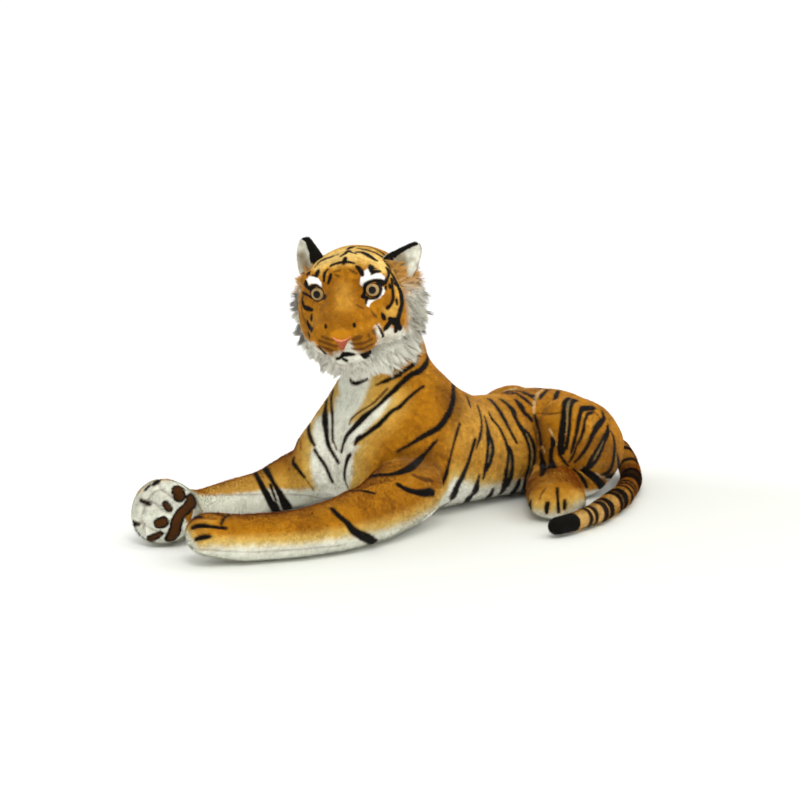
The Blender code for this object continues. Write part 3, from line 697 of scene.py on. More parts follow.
# How far the near foreleg is pressed down along its length: x, then a share of the height
LEG_HEIGHTS = [(-0.60, 1.0), (-0.565, 0.93), (-0.50, 0.87), (-0.45, 0.84), (-0.40, 0.90), (-0.355, 0.97), (-0.31, 1.0)]
NEAR_LEG_Y = (-0.05, -0.08)

# Small shifts down or forward: axis and distance, then the axes along which they set in, with start and full. In turn
# they lower the far haunch and the rump, and bring the near elbow and the far forepaw forward.
SHIFTS = [
    (2, 0.009, ((1, 0.06, 0.10), (2, 0.14, 0.18), (0, 0.05, 0.12))),
    (2, 0.007, ((0, 0.30, 0.38), (2, 0.10, 0.16))),
    (0, 0.012, ((1, -0.115, -0.15), (0, -0.20, -0.15), (0, 0.02, -0.06), (2, 0.16, 0.12))),
    (0, 0.008, ((1, 0.01, 0.04), (0, -0.42, -0.52))),
]


def settle_forms(skin):
    """Lowers the near foreleg and shifts parts of the body a little."""
    before = skin.points.copy()
    share = np.interp(before[:, 0], *zip(*LEG_HEIGHTS))
    skin.points[:, 2] = before[:, 2] * (1 - (1 - share) * ramp(before[:, 1], *NEAR_LEG_Y))
    for axis, distance, limits in SHIFTS:
        for along, low, high in limits:
            distance = distance * ramp(before[:, along], low, high)
        skin.points[:, axis] -= distance
    skin.settle()


settle_forms(BODY)
press(BODY, BODY_RELIEF)
press(HEAD_SKIN, HEAD_RELIEF, HEAD_LUMPS)
press(TAIL, [], TAIL_LUMPS)


# The coat. Strokes are lists of (x, y, width), zones and edges are lists of (x, y), all in pixels of the view.

FRONT_STROKES = [
    # The first two are dark marks under the edge of the ruff, painted in part as the shadow that the ruff casts on the
    # throat
    [(350, 376.6, 1.4), (352, 382, 2), (357, 383.4, 2), (362, 381.4, 1.8), (367, 379, 1.4)],
    [(400, 375.5, 2), (393, 378, 2.2), (385, 381, 1.8), (376.5, 385, 1)],
    [(427.5, 340, 2.4), (427, 352, 2.8), (426, 363, 3.2), (420, 370.5, 3.4), (411, 375, 3.6),
     (404, 380.8, 3.8), (394, 390.6, 3.2), (385, 398.9, 2.6), (378, 405.8, 2.2), (370.5, 411.7, 2.6),
     (362.8, 418.6, 4.2), (354, 427.8, 3.2), (348, 434.6, 2.6), (344, 442, 1.9), (342, 452, 1.3)],
    [(423.5, 386.5, 1.5), (417, 391, 1.7), (408.6, 398, 2.2), (399.6, 407, 2.4), (392.2, 411.1, 2.4),
     (385, 418.3, 2.9), (378, 425.3, 3.3), (370.5, 431.1, 2.7), (364, 436, 2.5), (358.4, 439.2, 3.4),
     (355.2, 444.5, 1.6)],
    [(333, 392, 1.6), (331.4, 400, 1.4), (332, 410, 1.6), (332.8, 420, 1.8), (332.6, 432, 1.6),
     (333, 441.6, 1.7)],
    [(327.4, 396, 1.4), (326.6, 402, 1.9), (325.4, 410, 2.5), (325.1, 418.3, 4.2), (326.3, 430, 3.8),
     (327.3, 440.4, 2.9), (330.4, 449, 2.5), (334.8, 456.6, 2.2), (338.7, 462.7, 1.6)],
    [(316.6, 413.4, 1.1), (311.6, 418.8, 1.1), (309.2, 425, 1.8), (309, 433, 2.1), (311.4, 440, 2.1),
     (314.4, 445.4, 1.4)],
    [(314.8, 450, 1.8), (319.2, 457, 2.1), (324, 464, 2.1), (329, 474, 2.1), (332.8, 481.8, 1.8)],
    [(293.6, 459.4, 2.2), (293.4, 463, 2.3), (297.4, 468.4, 2.3), (304, 476.6, 1.8)],
    [(350.6, 454.6, 1.7), (348.2, 457.8, 2.8), (346.2, 464, 2.1), (345, 472, 1.8), (345.6, 480, 1.6),
     (348, 487.4, 1.1)],
    [(359, 482, 1.2), (363, 479.9, 2.2), (370, 476.9, 1.7), (378.4, 475.2, 2.1), (390, 474.6, 2.5),
     (399.6, 472.4, 3.5), (408.4, 468.9, 4.1), (417.2, 462.4, 3.4), (424.1, 455, 2.8), (430.4, 447.3, 2.4),
     (437, 440.4, 1.5)],
    [(397.8, 484.4, 2.4), (405, 488.9, 2.8), (413, 491.6, 3.1), (421, 492.8, 3.7), (429, 492.2, 4.2),
     (433.4, 493, 2.2)],
    [(346.2, 492, 1.4), (353, 491.2, 1.8), (361, 490.8, 1.5), (368, 492, 1.7), (374, 493.5, 1.5)],
    [(254.5, 471.8, 2.2), (259, 480, 2.8), (263.6, 489.4, 4.2), (268.5, 497.8, 4.9), (273, 505, 4.7),
     (277, 511.5, 3.4)],
    [(265, 468.6, 3.2), (270.4, 477.4, 2.8), (275.8, 487.2, 3.2), (281.8, 498, 4.6), (288.4, 509.8, 4.6)],
    [(270.4, 485, 1.6), (273.2, 493, 1.6), (276, 501, 1.2)],
    [(331.6, 508.6, 1.7), (338.4, 515.4, 3.2), (347, 523.2, 3.6), (353.4, 530.6, 4.7), (361, 535.2, 4.3),
     (370.4, 540, 4.3), (375.8, 544.2, 3.2)],
    [(192.4, 519.8, 1.3), (198, 517.7, 2.2), (202.2, 517.2, 1.3)],
    [(192.4, 528.6, 1.2), (200, 526.3, 3.2), (210, 526.9, 2.3), (218, 527.6, 2.3), (226, 528.3, 1.7)],
    [(196, 539.7, 1.8), (203, 537.3, 3.5), (209.2, 536.3, 2.1)],
    [(200, 512, 1), (210, 512.8, 1), (222, 515.6, 1.2), (229, 517, 1)],
    [(221, 524.8, 1.2), (224, 518.4, 1.2), (229, 515.4, 1.2)],
    [(132, 520.6, 2), (134.6, 523.4, 2.4), (139, 524.4, 1.6)],
    [(141, 500.6, 1.8), (146, 502.6, 2.6), (150.4, 504.8, 1.6)],
    [(153.6, 484.4, 2.6), (158, 480.6, 2.8)],
    [(145.6, 489.6, 2), (149.4, 486, 1.8)],
    [(171, 476.8, 1.5), (175, 477, 1.7)],
    [(562, 516.8, 1.4), (556, 519.8, 1.4)],
    [(137, 530.6, 1.2), (141.4, 536, 1.4)],
]

# These are laid on the far side as well
BODY_STROKES = [
    [(418, 356, 1.6), (414, 364, 2.4), (404, 371, 2.4), (391, 378.6, 2.2), (383, 382.6, 1.4)],
    [(397.8, 451.3, 1.2), (408.2, 445.6, 1.9), (418.3, 439.3, 2.7), (428.3, 433.7, 3.5),
     (438.3, 427.6, 3.8), (446, 418, 3.8), (449.8, 411, 3.4), (452, 404, 3.1), (453.2, 395, 2.8),
     (452.6, 384, 2)],
    [(465.6, 395.4, 1.2), (468, 401, 2), (469.5, 406.4, 1.8)],
    [(459.4, 424, 1.2), (456.4, 434, 1.7), (453.2, 445, 1.5), (450, 457, 1.5), (447.2, 468.3, 1.9),
     (446.2, 474, 2.1), (443.6, 481, 1.7), (440.6, 487.6, 1.3)],
    [(477.2, 405.6, 1.4), (479.4, 414, 2.1), (481, 424, 1.9), (480, 435, 2.1), (476.2, 447.8, 1.3)],
    [(475, 440, 2.2), (472.4, 448.3, 2.3), (469, 459.4, 2.5), (465.7, 468, 3), (461.7, 477, 4),
     (456.7, 486, 4.6), (453.4, 494.6, 4.4), (452, 498.6, 2.4)],
    [(484.2, 417, 1.4), (486.7, 427.2, 2.3), (488.2, 436.6, 4.4), (487.7, 446, 2.4), (486.8, 458, 2.8),
     (485.4, 467.4, 3.2), (483.1, 478, 1.5)],
    [(489.4, 438, 3.4), (491.6, 443, 3.2), (491.9, 452, 3.5), (489.2, 462, 4), (486, 469, 3.6)],
    [(478.6, 475.4, 1.4), (476.8, 482.8, 2.7), (474.4, 491.4, 4.6), (469.5, 496.1, 4.6),
     (465.7, 501.4, 3.2), (460, 504.4, 1.8)],
    [(449.4, 501.4, 1.2), (444, 504.4, 1.4), (440.4, 506.6, 1)],
    [(488.8, 413, 1.2), (492.2, 419.8, 1.6), (498.8, 427.6, 1.8), (503.4, 437, 2.4), (506.8, 446, 2.8),
     (509.2, 451.6, 4.2), (507.6, 461, 2.6), (505.6, 473, 3), (504.7, 483, 3.8), (502, 491.2, 2.8),
     (499.1, 494.2, 1.2)],
    [(509.8, 451.8, 4), (511.7, 458, 2.8), (511.6, 470, 2.8), (509, 479.6, 4), (505.6, 486.2, 4.2)],
    [(488.8, 399.8, 2.6), (493.3, 403.4, 2.4), (499.2, 411.1, 3.1), (504.2, 419.4, 2.8),
     (508.2, 427.8, 2.2), (512.6, 436, 2.1), (516.7, 442.8, 1.2)],
    [(501, 400.4, 2.4), (506.4, 404.2, 2.9), (512.7, 410.6, 3.5), (514.8, 417.2, 2.6), (518.8, 424.8, 3.2),
     (523.2, 431.6, 3.6), (526.7, 440.6, 2.4), (529.4, 450, 2.3), (529.3, 462, 2.4), (527.3, 472, 2.8),
     (525.6, 481.8, 3), (523.1, 489.4, 1.4)],
    [(525, 431.6, 3), (528.4, 435, 2.6), (533.2, 444.8, 3), (534.5, 455, 3), (532.7, 466, 3),
     (529.4, 478.2, 3.4), (526.6, 484.4, 3.4)],
    [(515.6, 400.2, 2), (520.5, 406, 3.3), (523.4, 411.8, 2.9), (527.8, 416.2, 3.3), (531.7, 420.2, 2.6)],
    [(507.4, 392, 3.2), (509, 392.4, 2.4)],
    [(504.4, 394.6, 2.2), (512, 393.4, 2.4), (519, 395.6, 2.2), (526, 400.2, 2.4), (531.3, 405.6, 1.6)],
    [(517.6, 392, 1.4), (524.5, 393.2, 2), (530.4, 396.8, 2), (534.2, 400, 1.4)],
    [(533.2, 388.2, 1.8), (538.4, 389.4, 2.2), (543, 388.8, 1.4)],
    [(546.6, 391.2, 1.2), (542.2, 395.5, 2), (540.6, 399, 1.2)],
    [(558.3, 391.6, 1.8), (556.2, 396, 2.3), (554.7, 402.2, 1.8)],
    [(568.9, 398.2, 2.2), (566, 402.4, 3.3), (564.5, 411.6, 4), (563.4, 421.6, 4.4), (562.6, 433, 5.8),
     (562, 443, 7), (561.5, 450.4, 6), (560.5, 454.4, 3.2)],
    [(574.6, 400.2, 3.2), (571.6, 404, 2.3), (570, 415, 2.1), (569.2, 428, 2.3), (567.6, 440, 2.7),
     (565.6, 448.2, 2.7)],
    [(593.8, 407.8, 2.2), (588, 408.6, 3.3), (582.8, 409, 3.3), (580.2, 413.6, 2.8), (578.4, 421.6, 2.8),
     (576.4, 432.6, 2.5), (573.8, 443.6, 2.5), (571.2, 452.8, 1.8)],
    [(591.6, 412.8, 1.6), (587.3, 414.6, 1.8), (584.7, 421.6, 1.7), (583.4, 430.4, 2.1), (580, 439.6, 1.9),
     (576, 447, 1.5), (573, 455.6, 1.5), (569, 462, 1.2)],
    [(602, 412.8, 1.6), (603.4, 418.6, 2.7), (600, 423, 3.3), (594.6, 430.4, 3.5), (591.2, 438, 3),
     (586.8, 447, 2.8), (579.6, 457, 2.1), (574.5, 462.4, 1.3)],
    [(607.4, 425.4, 1.6), (607.6, 431.8, 2.9), (604.4, 438.4, 4), (600.2, 444, 2.4), (595.7, 451.7, 2.6),
     (591.2, 459.4, 3.3), (588, 467, 4.2), (584, 469.6, 3.4)],
    [(604, 441, 3.2), (602.2, 447.4, 2.6), (598, 457, 2.8), (593, 463.8, 3.3), (588.6, 467.4, 4)],
    [(610.4, 431.4, 1), (613.2, 437.4, 1.8), (614.4, 446.6, 2.8), (613.6, 456, 2.8), (612.2, 463.8, 3),
     (608.3, 471.6, 3.1), (601.8, 473.8, 1.5)],
    [(616.6, 455, 2), (618, 464, 3), (617.2, 471, 3.5), (612.2, 475.2, 3.2), (606, 476.4, 1.5)],
    [(584, 469.4, 3.8), (591, 475, 4.3), (596.8, 480.2, 4.3), (602.2, 486, 4.7), (607.2, 490.6, 4.6)],
    [(573, 469.4, 1.6), (578.7, 474, 2.1), (583.4, 480.6, 2.3), (586.8, 487.2, 1.5)],
    [(551.8, 438.2, 2.2), (553.2, 443, 3.5), (551.2, 452, 3), (551.1, 460, 3), (553.9, 468.2, 2.6)],
    [(550, 464, 1.5), (549.8, 468.4, 2.8)],
    [(560, 455, 1.2), (564.6, 462, 1.9), (568, 466, 1.8)],
    [(534.5, 416, 2.2), (537, 424.6, 2.5), (540, 433.4, 2.3), (541.6, 444, 2.2)],
    [(540.2, 451.6, 1.9), (542.4, 459.8, 3.3), (543.4, 469.4, 3.3), (541.8, 476, 1.8)],
    [(518.6, 479.6, 2), (516.7, 486, 3.3), (511.2, 493.2, 3.1), (504.6, 499.2, 1.8)],
    [(492.2, 488.2, 1.4), (490.6, 493.3, 2.9), (485.7, 498.4, 3.7), (480, 502.3, 2.9), (472.4, 505, 1.5)],
    [(530.8, 501.4, 1.7), (530.5, 506, 2.7), (530.5, 511.8, 1.5)],
    [(547.6, 503.8, 3.1), (546.7, 509, 2.8), (546.6, 513.2, 1.3)],
    [(557.2, 488.4, 1.2), (557.4, 496, 1.7), (558, 502, 1.7), (558.6, 512.2, 1.6)],
    [(564.6, 500.8, 2.1), (564.5, 506, 3), (564.3, 509, 1.5)],
]

# Grey and gold slits inside the double strokes
BODY_SLITS = [
    [(489.9, 442, 0.9), (489.8, 452, 1.5), (487.6, 462, 1.1)],
    [(509.6, 455, 0.9), (509.5, 465, 1.5), (507.6, 477, 1.3)],
    [(526, 434, 1), (530, 442, 1.6), (532, 454, 2), (531, 465, 1.9), (527.8, 478, 1.4)],
    [(603, 441.6, 1), (599.4, 449, 1.5), (594, 459, 1.5)],
    [(569.4, 401.4, 1.6), (567.8, 407, 2), (567, 420, 1.8), (566.4, 434, 1.3)],
    [(615.6, 453, 1), (615.7, 462, 1.6), (613.4, 470, 1.2)],
]

# Thin brown strokes of the body
BROWN_STROKES = [
    [(387.5, 389, 2), (380.6, 396, 2.3), (372.8, 403.9, 1.9), (363.4, 409.6, 1.6), (356, 415, 1.7), (351, 420, 1.7),
     (349.5, 424.4, 1.2)],
    [(333.6, 384, 2.2), (333, 391, 2.6), (330, 394, 2), (331.4, 400, 1.2)],
    [(333.6, 441, 1.8), (336.6, 449, 1.6)],
    [(545.6, 488, 1.2), (542.6, 493, 1.4), (539.8, 499, 1.2)],
    [(300.8, 440, 1), (301, 450, 1)],
    [(592, 411, 1.2), (597.6, 415.6, 1.4), (602, 421, 1.2)],
    [(304, 476.6, 0.9), (309.4, 484, 0.9), (314, 491, 0.8)],
    [(532, 422, 1.1), (535, 432, 1.1), (538, 443.6, 1.2), (542.6, 453, 1.2)],
    [(535.6, 413.4, 1), (548, 414.4, 1.1), (562, 412.6, 1)],
    [(413, 475, 2.4), (422, 479, 2.6), (432, 481, 2)],
]

# Where the white of the belly, the near foreleg and the hind foot begins, how wide the gold fades above it (x, metres),
# and where the white of the far foreleg begins
NEAR_EDGE = [(150, 528), (186, 528), (192, 537), (199, 545.6), (225, 544.6), (262, 543.8), (300, 542.6), (350, 535),
             (385, 528), (410, 519), (434, 506), (445, 494), (449.5, 482), (454, 476), (464, 479), (481, 484),
             (498, 486.6), (515, 486), (523, 487), (526, 504), (535, 509), (550, 511), (563, 510), (573, 505),
             (582, 499), (592, 500), (610, 491), (625, 482), (650, 470)]
NEAR_FADE = [(186, 0.012), (300, 0.015), (407, 0.018), (440, 0.022), (452, 0.040), (515, 0.040), (530, 0.030),
             (563, 0.032), (580, 0.020), (620, 0.010)]
FAR_EDGE = [(180, 495), (207, 496), (240, 494), (275, 489), (300, 490.6), (325, 495)]

# The white of the chest and of the raised far paw, the golden flank, the places painted browner as shade, and the paw's
# golden rim
CHEST = [(337, 360), (337, 385), (338.5, 395), (334, 399), (333, 411), (322, 414), (314, 419), (310.5, 432),
         (312, 445), (309.5, 455), (309.5, 470), (312, 482), (316, 492), (322, 502), (336, 502), (350, 490), (353, 480),
         (354.5, 468), (355, 456), (361, 446), (356, 443), (368, 431), (380, 419), (390, 405), (393, 398), (388, 396),
         (378, 404), (366, 412), (358, 419), (352, 422), (358, 413), (364, 405), (367, 395), (371, 385), (374, 360)]
FAR_PAW = [(128, 520), (130, 508), (136, 496), (144, 486), (152, 479.6), (160, 480), (172, 479.4), (182, 481),
           (190, 485), (198, 492), (204, 500), (200, 520), (190, 540), (176, 550), (158, 552), (140, 546), (128, 534)]
FLANK = [(462, 404), (492, 404), (524, 430), (528, 470), (500, 474), (462, 466), (452, 440)]
SHADED = [[(560, 456), (580, 440), (600, 436), (616, 440), (619, 478), (600, 474), (584, 466), (566, 466)],
          [(436, 386), (446, 384), (464, 400), (460, 420), (452, 430), (444, 414)],
          [(536, 420), (552, 424), (556, 460), (548, 474), (538, 452)],
          [(396, 452), (424, 444), (440, 452), (438, 470), (420, 470), (404, 474)]]
PAW_RIM = [(150, 470), (196, 470), (196, 484), (186, 481), (174, 479.6), (160, 480), (152, 482)]

# Pads of the raised far paw
FAR_PADS = [
    [(178, 490.6, 11.5), (178.8, 495.6, 12.5)],
    [(165.4, 504, 7.5), (169, 509.4, 7.5)],
    [(158.8, 523.6, 11), (163, 522, 11)],
    [(150, 539.2, 5.5), (155.6, 536.4, 6.8), (160.6, 533.4, 5.5)],
    [(193, 500.4, 10), (188, 507, 10.5), (181, 513.6, 11), (176.8, 521, 11.5), (174.6, 531, 11.5), (170.6, 538.6, 9)],
]

# Seams of the haunch and the back, painted pale along them as highlight, and those between toes and along the forelegs
SEAM_HIGHLIGHTS = [
    [(551, 388.4, 1.2), (545, 389.6, 1.8), (539, 393, 2.2), (535, 400, 2.2), (533.4, 409, 2), (534.4, 418, 1.4),
     (537.4, 427, 1.2), (540.6, 440, 1.2), (545, 452, 1.2)],
    [(549.4, 429, 1), (553, 436, 1.3), (556.4, 444.6, 1)],
    [(491, 396.6, 1.2), (499, 394.6, 1.8), (508, 390.8, 1.8), (517, 388.6, 1.2)],
]
TOE_SEAMS = [
    [(158.6, 481.4, 0.9), (161, 489, 1), (167, 493.4, 1), (174, 498.6, 0.9)],
    [(147.6, 500.6, 0.9), (156, 504, 1), (162, 509.6, 1)],
    [(136, 522.6, 0.9), (143, 523.4, 1), (152, 529, 1), (165, 533.6, 1)],
    [(161, 489, 0.9), (151.4, 495.6, 1), (145, 507, 1), (142.4, 521, 1), (146, 533, 0.9)],
    [(207, 495.6, 0.7), (250, 494.6, 0.7), (298, 494.6, 1), (326, 498.6, 1.1)],
    [(190, 545.6, 0.8), (203, 549.4, 0.9), (260, 551.6, 0.8), (340, 545.6, 0.7)],
]


def paint(skin, strokes, wider=1.0, mirror=None, made=None):
    made = made or Spray()
    for points in strokes:
        made.line_px(skin, points, wider, mirror)
    return made


def across(v):
    """The same place on the other side of the body."""
    return Vector((v[0], -v[1], v[2]))


# How much wider than measured each kind of stroke is sprayed, since the pile closes over its edges
WIDER_BODY, WIDER_FRONT, WIDER_SLITS, WIDER_BROWN, WIDER_FACE, WIDER_FACE_BROWN = 1.30, 1.22, 1.1, 1.1, 1.24, 1.3

BODY_BLACK = paint(BODY, BODY_STROKES, WIDER_BODY, across)
paint(BODY, FRONT_STROKES, WIDER_FRONT, made=BODY_BLACK)
BODY_GOLD = paint(BODY, BODY_SLITS, WIDER_SLITS, across)
BODY_BROWN = paint(BODY, BROWN_STROKES, WIDER_BROWN)
BODY_PADS = paint(BODY, FAR_PADS)
BODY_SEAM_HIGHLIGHTS = paint(BODY, SEAM_HIGHLIGHTS, mirror=across)
BODY_TOES = paint(BODY, TOE_SEAMS)


def mix(colours, other, share):
    share = np.broadcast_to(np.asarray(share, float), len(colours))[:, None]
    return colours + (np.asarray(other, float) - colours) * share


def sprayed(colours, points, fuzz, spray, margin, rough, tones):
    """The colours under a spray's strokes, tone by tone: (colour, start, full, strength)."""
    depth = spray.depth(points, margin) + rough * fuzz
    for colour, low, high, strength in tones:
        colours = mix(colours, colour, ramp(depth, low, high) * strength)
    return colours


# Clouds of the orange: height, size and seed of each noise, and where they darken and lighten: start, full, strength
CLOUDS = ((0.55, 0.070, 3), (0.35, 0.026, 4))
FINE_CLOUDS = (0.45, 0.006, 5)
HEAD_CLOUDS = (0.45, 0.0045, 5)
CLOUD_DARK = (-0.1, 0.9, 0.85)
CLOUD_LIGHT = (-0.15, -1.0, 0.50)


def orange_pile(points, low=0.0, fine=FINE_CLOUDS):
    """Airbrushed orange, deep and light in soft clouds. Low from 0 to 1 brings it towards gold."""
    clouds = layered(points, (*CLOUDS, fine))
    colours = np.tile(np.array(ORANGE), (len(points), 1))
    for colour, (start, full, strength) in ((DEEP_ORANGE, CLOUD_DARK), (GOLD, CLOUD_LIGHT)):
        colours = mix(colours, colour, ramp(clouds, start, full) * strength)
    return mix(colours, GOLD, low)


PALE_GRAIN = 0.012
PALE_SEED = 9
GREY_LEAST, GREY_SPREAD = 0.4, 1.2


def pale_pile(points, grey, grain=PALE_GRAIN):
    """White pile with a share of grey in soft spots."""
    shade = 0.5 + 0.5 * noise(points, grain, PALE_SEED)
    share = np.clip(grey * (GREY_LEAST + GREY_SPREAD * shade), 0, 1)
    return mix(np.tile(np.array(WHITE), (len(points), 1)), GREY, share)


def near_side(points):
    """The same places with the far half of the body folded over to the near one."""
    return np.column_stack([points[:, 0], -np.abs(points[:, 1]), points[:, 2]])


# The unevenness of the body coat's edges, and where each of its zones begins and is full: in metres past its edge or
# along an axis, or as a share of facing a way
BODY_FUZZ = ((0.0022, 0.010, 7), (0.0012, 0.004, 8))
NEAR_WHITE, NEAR_STRAW = (-0.006, 0.014), (-0.020, 0.000)
NEAR_GOLD_WIDER, NEAR_GOLD_FULL, GOLD_STRENGTH = 0.012, -0.006, 0.95
FAR_LEG_Y, FAR_LEG_X, FAR_LEG_FACING = (0.02, 0.04), (-0.17, -0.20), (-0.15, 0.05)
FAR_LEG_WHITE, FAR_LEG_GOLD = (-0.005, 0.004), (-0.060, -0.004)
HIDDEN_SIDE, HIDDEN_X, HIDDEN_FACING, HIDDEN_WHITE_Z = (0.1, 0.5), (-0.20, -0.24), (0.0, -0.2), (0.062, 0.048)
BELLY_DOWN, BELLY_Z = (0.45, 0.75), (0.085, 0.060)
CHEST_ROUGH, CHEST_FACING, CHEST_X = 0.6, (-0.14, 0.02), (-0.02, -0.06)
CHEST_END_Y, CHEST_END_Z = (-0.09, -0.11), (0.14, 0.12)
CHEST_WHITE, CHEST_GOLD, CHEST_STRAW, CHEST_STRAW_STRENGTH = (-0.003, 0.009), (-0.050, -0.004), (-0.018, 0.000), 0.8
PAW_X, PAW_WHITE = (-0.50, -0.53), (-0.003, 0.004)
FLANK_GOLD, FLANK_STRENGTH = (-0.03, 0.02), 0.40
SHADE_BROWN, SHADE_STRENGTH = (-0.014, 0.012), 0.66
GOLD_NOISE, STRAW_NOISE = (0.1, 0.02, 6), (0.25, 0.008, 13)
GREY_BASE, GREY_LOW, GREY_LOW_Z, GREY_PAW = 0.10, 0.06, (0.05, 0.02), 0.22
RIM_GOLD, RIM_STRENGTH = (-0.004, 0.003), 0.75
TOE_DARK, TOE_DARK_ON_WHITE = 0.20, 0.22

# Sprayed marks in the order in which they lie: margin, roughness, then tones of colour, start, full and strength
SEAM_HIGHLIGHT_MARK = (BODY_SEAM_HIGHLIGHTS, 0.005, 0, ((SEAM_HIGHLIGHT_GOLD, -0.0020, 0.0010, 0.5),))
BODY_MARKS = (
    (BODY_BROWN, 0.005, 0.3, ((BROWN, -0.0016, 0.0010, 0.90),)),
    (BODY_BLACK, 0.006, 0.25, ((BROWN, -0.0036, -0.0006, 0.55), (BLACK, -0.0013, 0.0009, 1))),
    (BODY_GOLD, 0.005, 0.2, ((SLIT_GOLD, -0.0008, 0.0010, 0.60),)),
    (BODY_PADS, 0.008, 0.3, ((BLACK, -0.0004, 0.0012, 1), (PAD_BROWN, 0.0034, 0.0052, 1))),
)


def body_coat(points, normals):
    x, y, z = points.T
    fuzz = layered(points, BODY_FUZZ)
    facing = normals @ BACK
    near = near_side(points)
    fade = np.interp(to_view(near)[0], *zip(*NEAR_FADE))
    edge = below(near, NEAR_EDGE) + fuzz
    white = ramp(edge, *NEAR_WHITE)
    straw = ramp(edge, *NEAR_STRAW)
    gold = ramp(edge, -fade - NEAR_GOLD_WIDER, NEAR_GOLD_FULL) * GOLD_STRENGTH

    far_leg = ramp(y, *FAR_LEG_Y) * ramp(x, *FAR_LEG_X)
    inner = far_leg * ramp(facing, *FAR_LEG_FACING)
    inner_edge = below(points, FAR_EDGE) + fuzz
    white = white * (1 - inner) + inner * ramp(inner_edge, *FAR_LEG_WHITE)
    gold = gold * (1 - inner) + inner * ramp(inner_edge, *FAR_LEG_GOLD) * GOLD_STRENGTH
    hidden = ramp(-normals[:, 1] * np.sign(y), *HIDDEN_SIDE) * ramp(x, *HIDDEN_X) * (1 - far_leg)
    hidden = hidden * ramp(facing, *HIDDEN_FACING)
    white = np.maximum(white * (1 - hidden), hidden * ramp(z, *HIDDEN_WHITE_Z))
    white = np.maximum(white, ramp(-normals[:, 2], *BELLY_DOWN) * ramp(z, *BELLY_Z))

    chest = zone(points, CHEST) + CHEST_ROUGH * fuzz
    front = ramp(facing, *CHEST_FACING) * ramp(x, *CHEST_X)
    front = front * (1 - ramp(y, *CHEST_END_Y) * ramp(z, *CHEST_END_Z))
    white = np.maximum(white, ramp(chest, *CHEST_WHITE) * front)
    gold = np.maximum(gold, ramp(chest, *CHEST_GOLD) * GOLD_STRENGTH * front)
    straw = np.maximum(straw * (1 - inner), ramp(chest, *CHEST_STRAW) * front * CHEST_STRAW_STRENGTH)
    paw = ramp(x, *PAW_X) * (y > 0)
    white = np.maximum(white, ramp(zone(points, FAR_PAW) + fuzz, *PAW_WHITE) * paw)

    flank = ramp(zone(near, FLANK) + 2 * fuzz, *FLANK_GOLD) * FLANK_STRENGTH
    colours = orange_pile(points, np.maximum(gold, flank) * (1 - GOLD_NOISE[0] + layered(points, [GOLD_NOISE])))
    # Painted shade: places on the thigh's rear, the neck's side, the haunch's front and the shoulder's lower part are
    # darkened brown
    for outline in SHADED:
        shade = ramp(zone(near, outline) + 2 * fuzz, *SHADE_BROWN)
        colours = mix(colours, SHADE_DEEP_BROWN, shade * (1 - gold) * SHADE_STRENGTH)
    colours = mix(colours, STRAW, straw * (1 - STRAW_NOISE[0] + layered(points, [STRAW_NOISE])))
    pale = pale_pile(points, GREY_BASE + GREY_LOW * ramp(z, *GREY_LOW_Z) + GREY_PAW * paw)
    colours = mix(colours, pale, white)
    colours = mix(colours, GOLD, ramp(zone(points, PAW_RIM) + fuzz, *RIM_GOLD) * paw * RIM_STRENGTH)
    # Pale paint along the seams of the haunch and the back: painted highlight
    colours = sprayed(colours, points, fuzz, *SEAM_HIGHLIGHT_MARK)
    toes = (BROWN, -0.0022, 0.0008, TOE_DARK + TOE_DARK_ON_WHITE * white)
    colours = sprayed(colours, points, fuzz, BODY_TOES, 0.004, 0, (toes,))
    for mark in BODY_MARKS:
        colours = sprayed(colours, points, fuzz, *mark)
    return colours


# The middle of the tail, from its root to its tip
TAIL_LINE = [(0.483, -0.037, 0.055), (0.443, -0.081, 0.045), (0.425, -0.105, 0.030), (0.386, -0.143, 0.020),
             (0.324, -0.196, 0.020), (0.254, -0.250, 0.020), (0.186, -0.289, 0.020), (0.099, -0.329, 0.020),
             (0.030, -0.347, 0.020), (-0.019, -0.353, 0.020), (-0.058, -0.351, 0.020)]

TAIL_LINE_STEP = 0.004

# Bands of the tail: darkness, then the pixels at the two ends of each along the tail's middle
TAIL_BANDS = [
    (1.0, (589.7, 520.4), (593.3, 518.8)), (1.0, (595.7, 518.2), (598.9, 516.8)), (1.0, (604.6, 513.8), (608.7, 511.5)),
    (1.0, (610.2, 510.6), (614.0, 508.3)), (1.0, (620.0, 504.0), (622.9, 501.4)), (1.0, (623.7, 500.7), (627.6, 497.2)),
    (0.9, (630.2, 493.8), (631.7, 491.4)), (0.9, (632.2, 489.6), (633.0, 487.4)), (0.9, (633.3, 485.9), (633.6, 483.6)),
    (1.0, (633.3, 479.6), (633.0, 474.8)), (0.6, (633.0, 475.0), (632.4, 470.6)), (1.0, (632.2, 470.6), (631.8, 468.0)),
    (1.0, (630.3, 460.2), (629.0, 457.4)), (1.0, (625.4, 449.0), (623.6, 445.4)),
]
TAIL_TIP_PX = (580.6, 523.8)


def tail_shares(points):
    """How far along the tail each point lies, as a share, and the tail's way there."""
    made, shares = curve(TAIL_LINE, TAIL_LINE_STEP)
    tree = KDTree(len(made))
    for i, spot in enumerate(made):
        tree.insert(spot, i)
    tree.balance()
    line = np.array(made)
    index = np.array([tree.find(p)[1] for p in points])
    ahead = unit(line[np.minimum(index + 1, len(line) - 1)] - line[np.maximum(index - 1, 0)])
    total = np.linalg.norm(np.diff(line, axis=0), axis=1).sum()
    return np.array(shares)[index] + ((points - line[index]) * ahead).sum(1) / total, ahead


def tail_share_px(px, py):
    spot, _ = TAIL.hit(px, py)
    return tail_shares(np.array([spot]))[0][0] if spot is not None else None


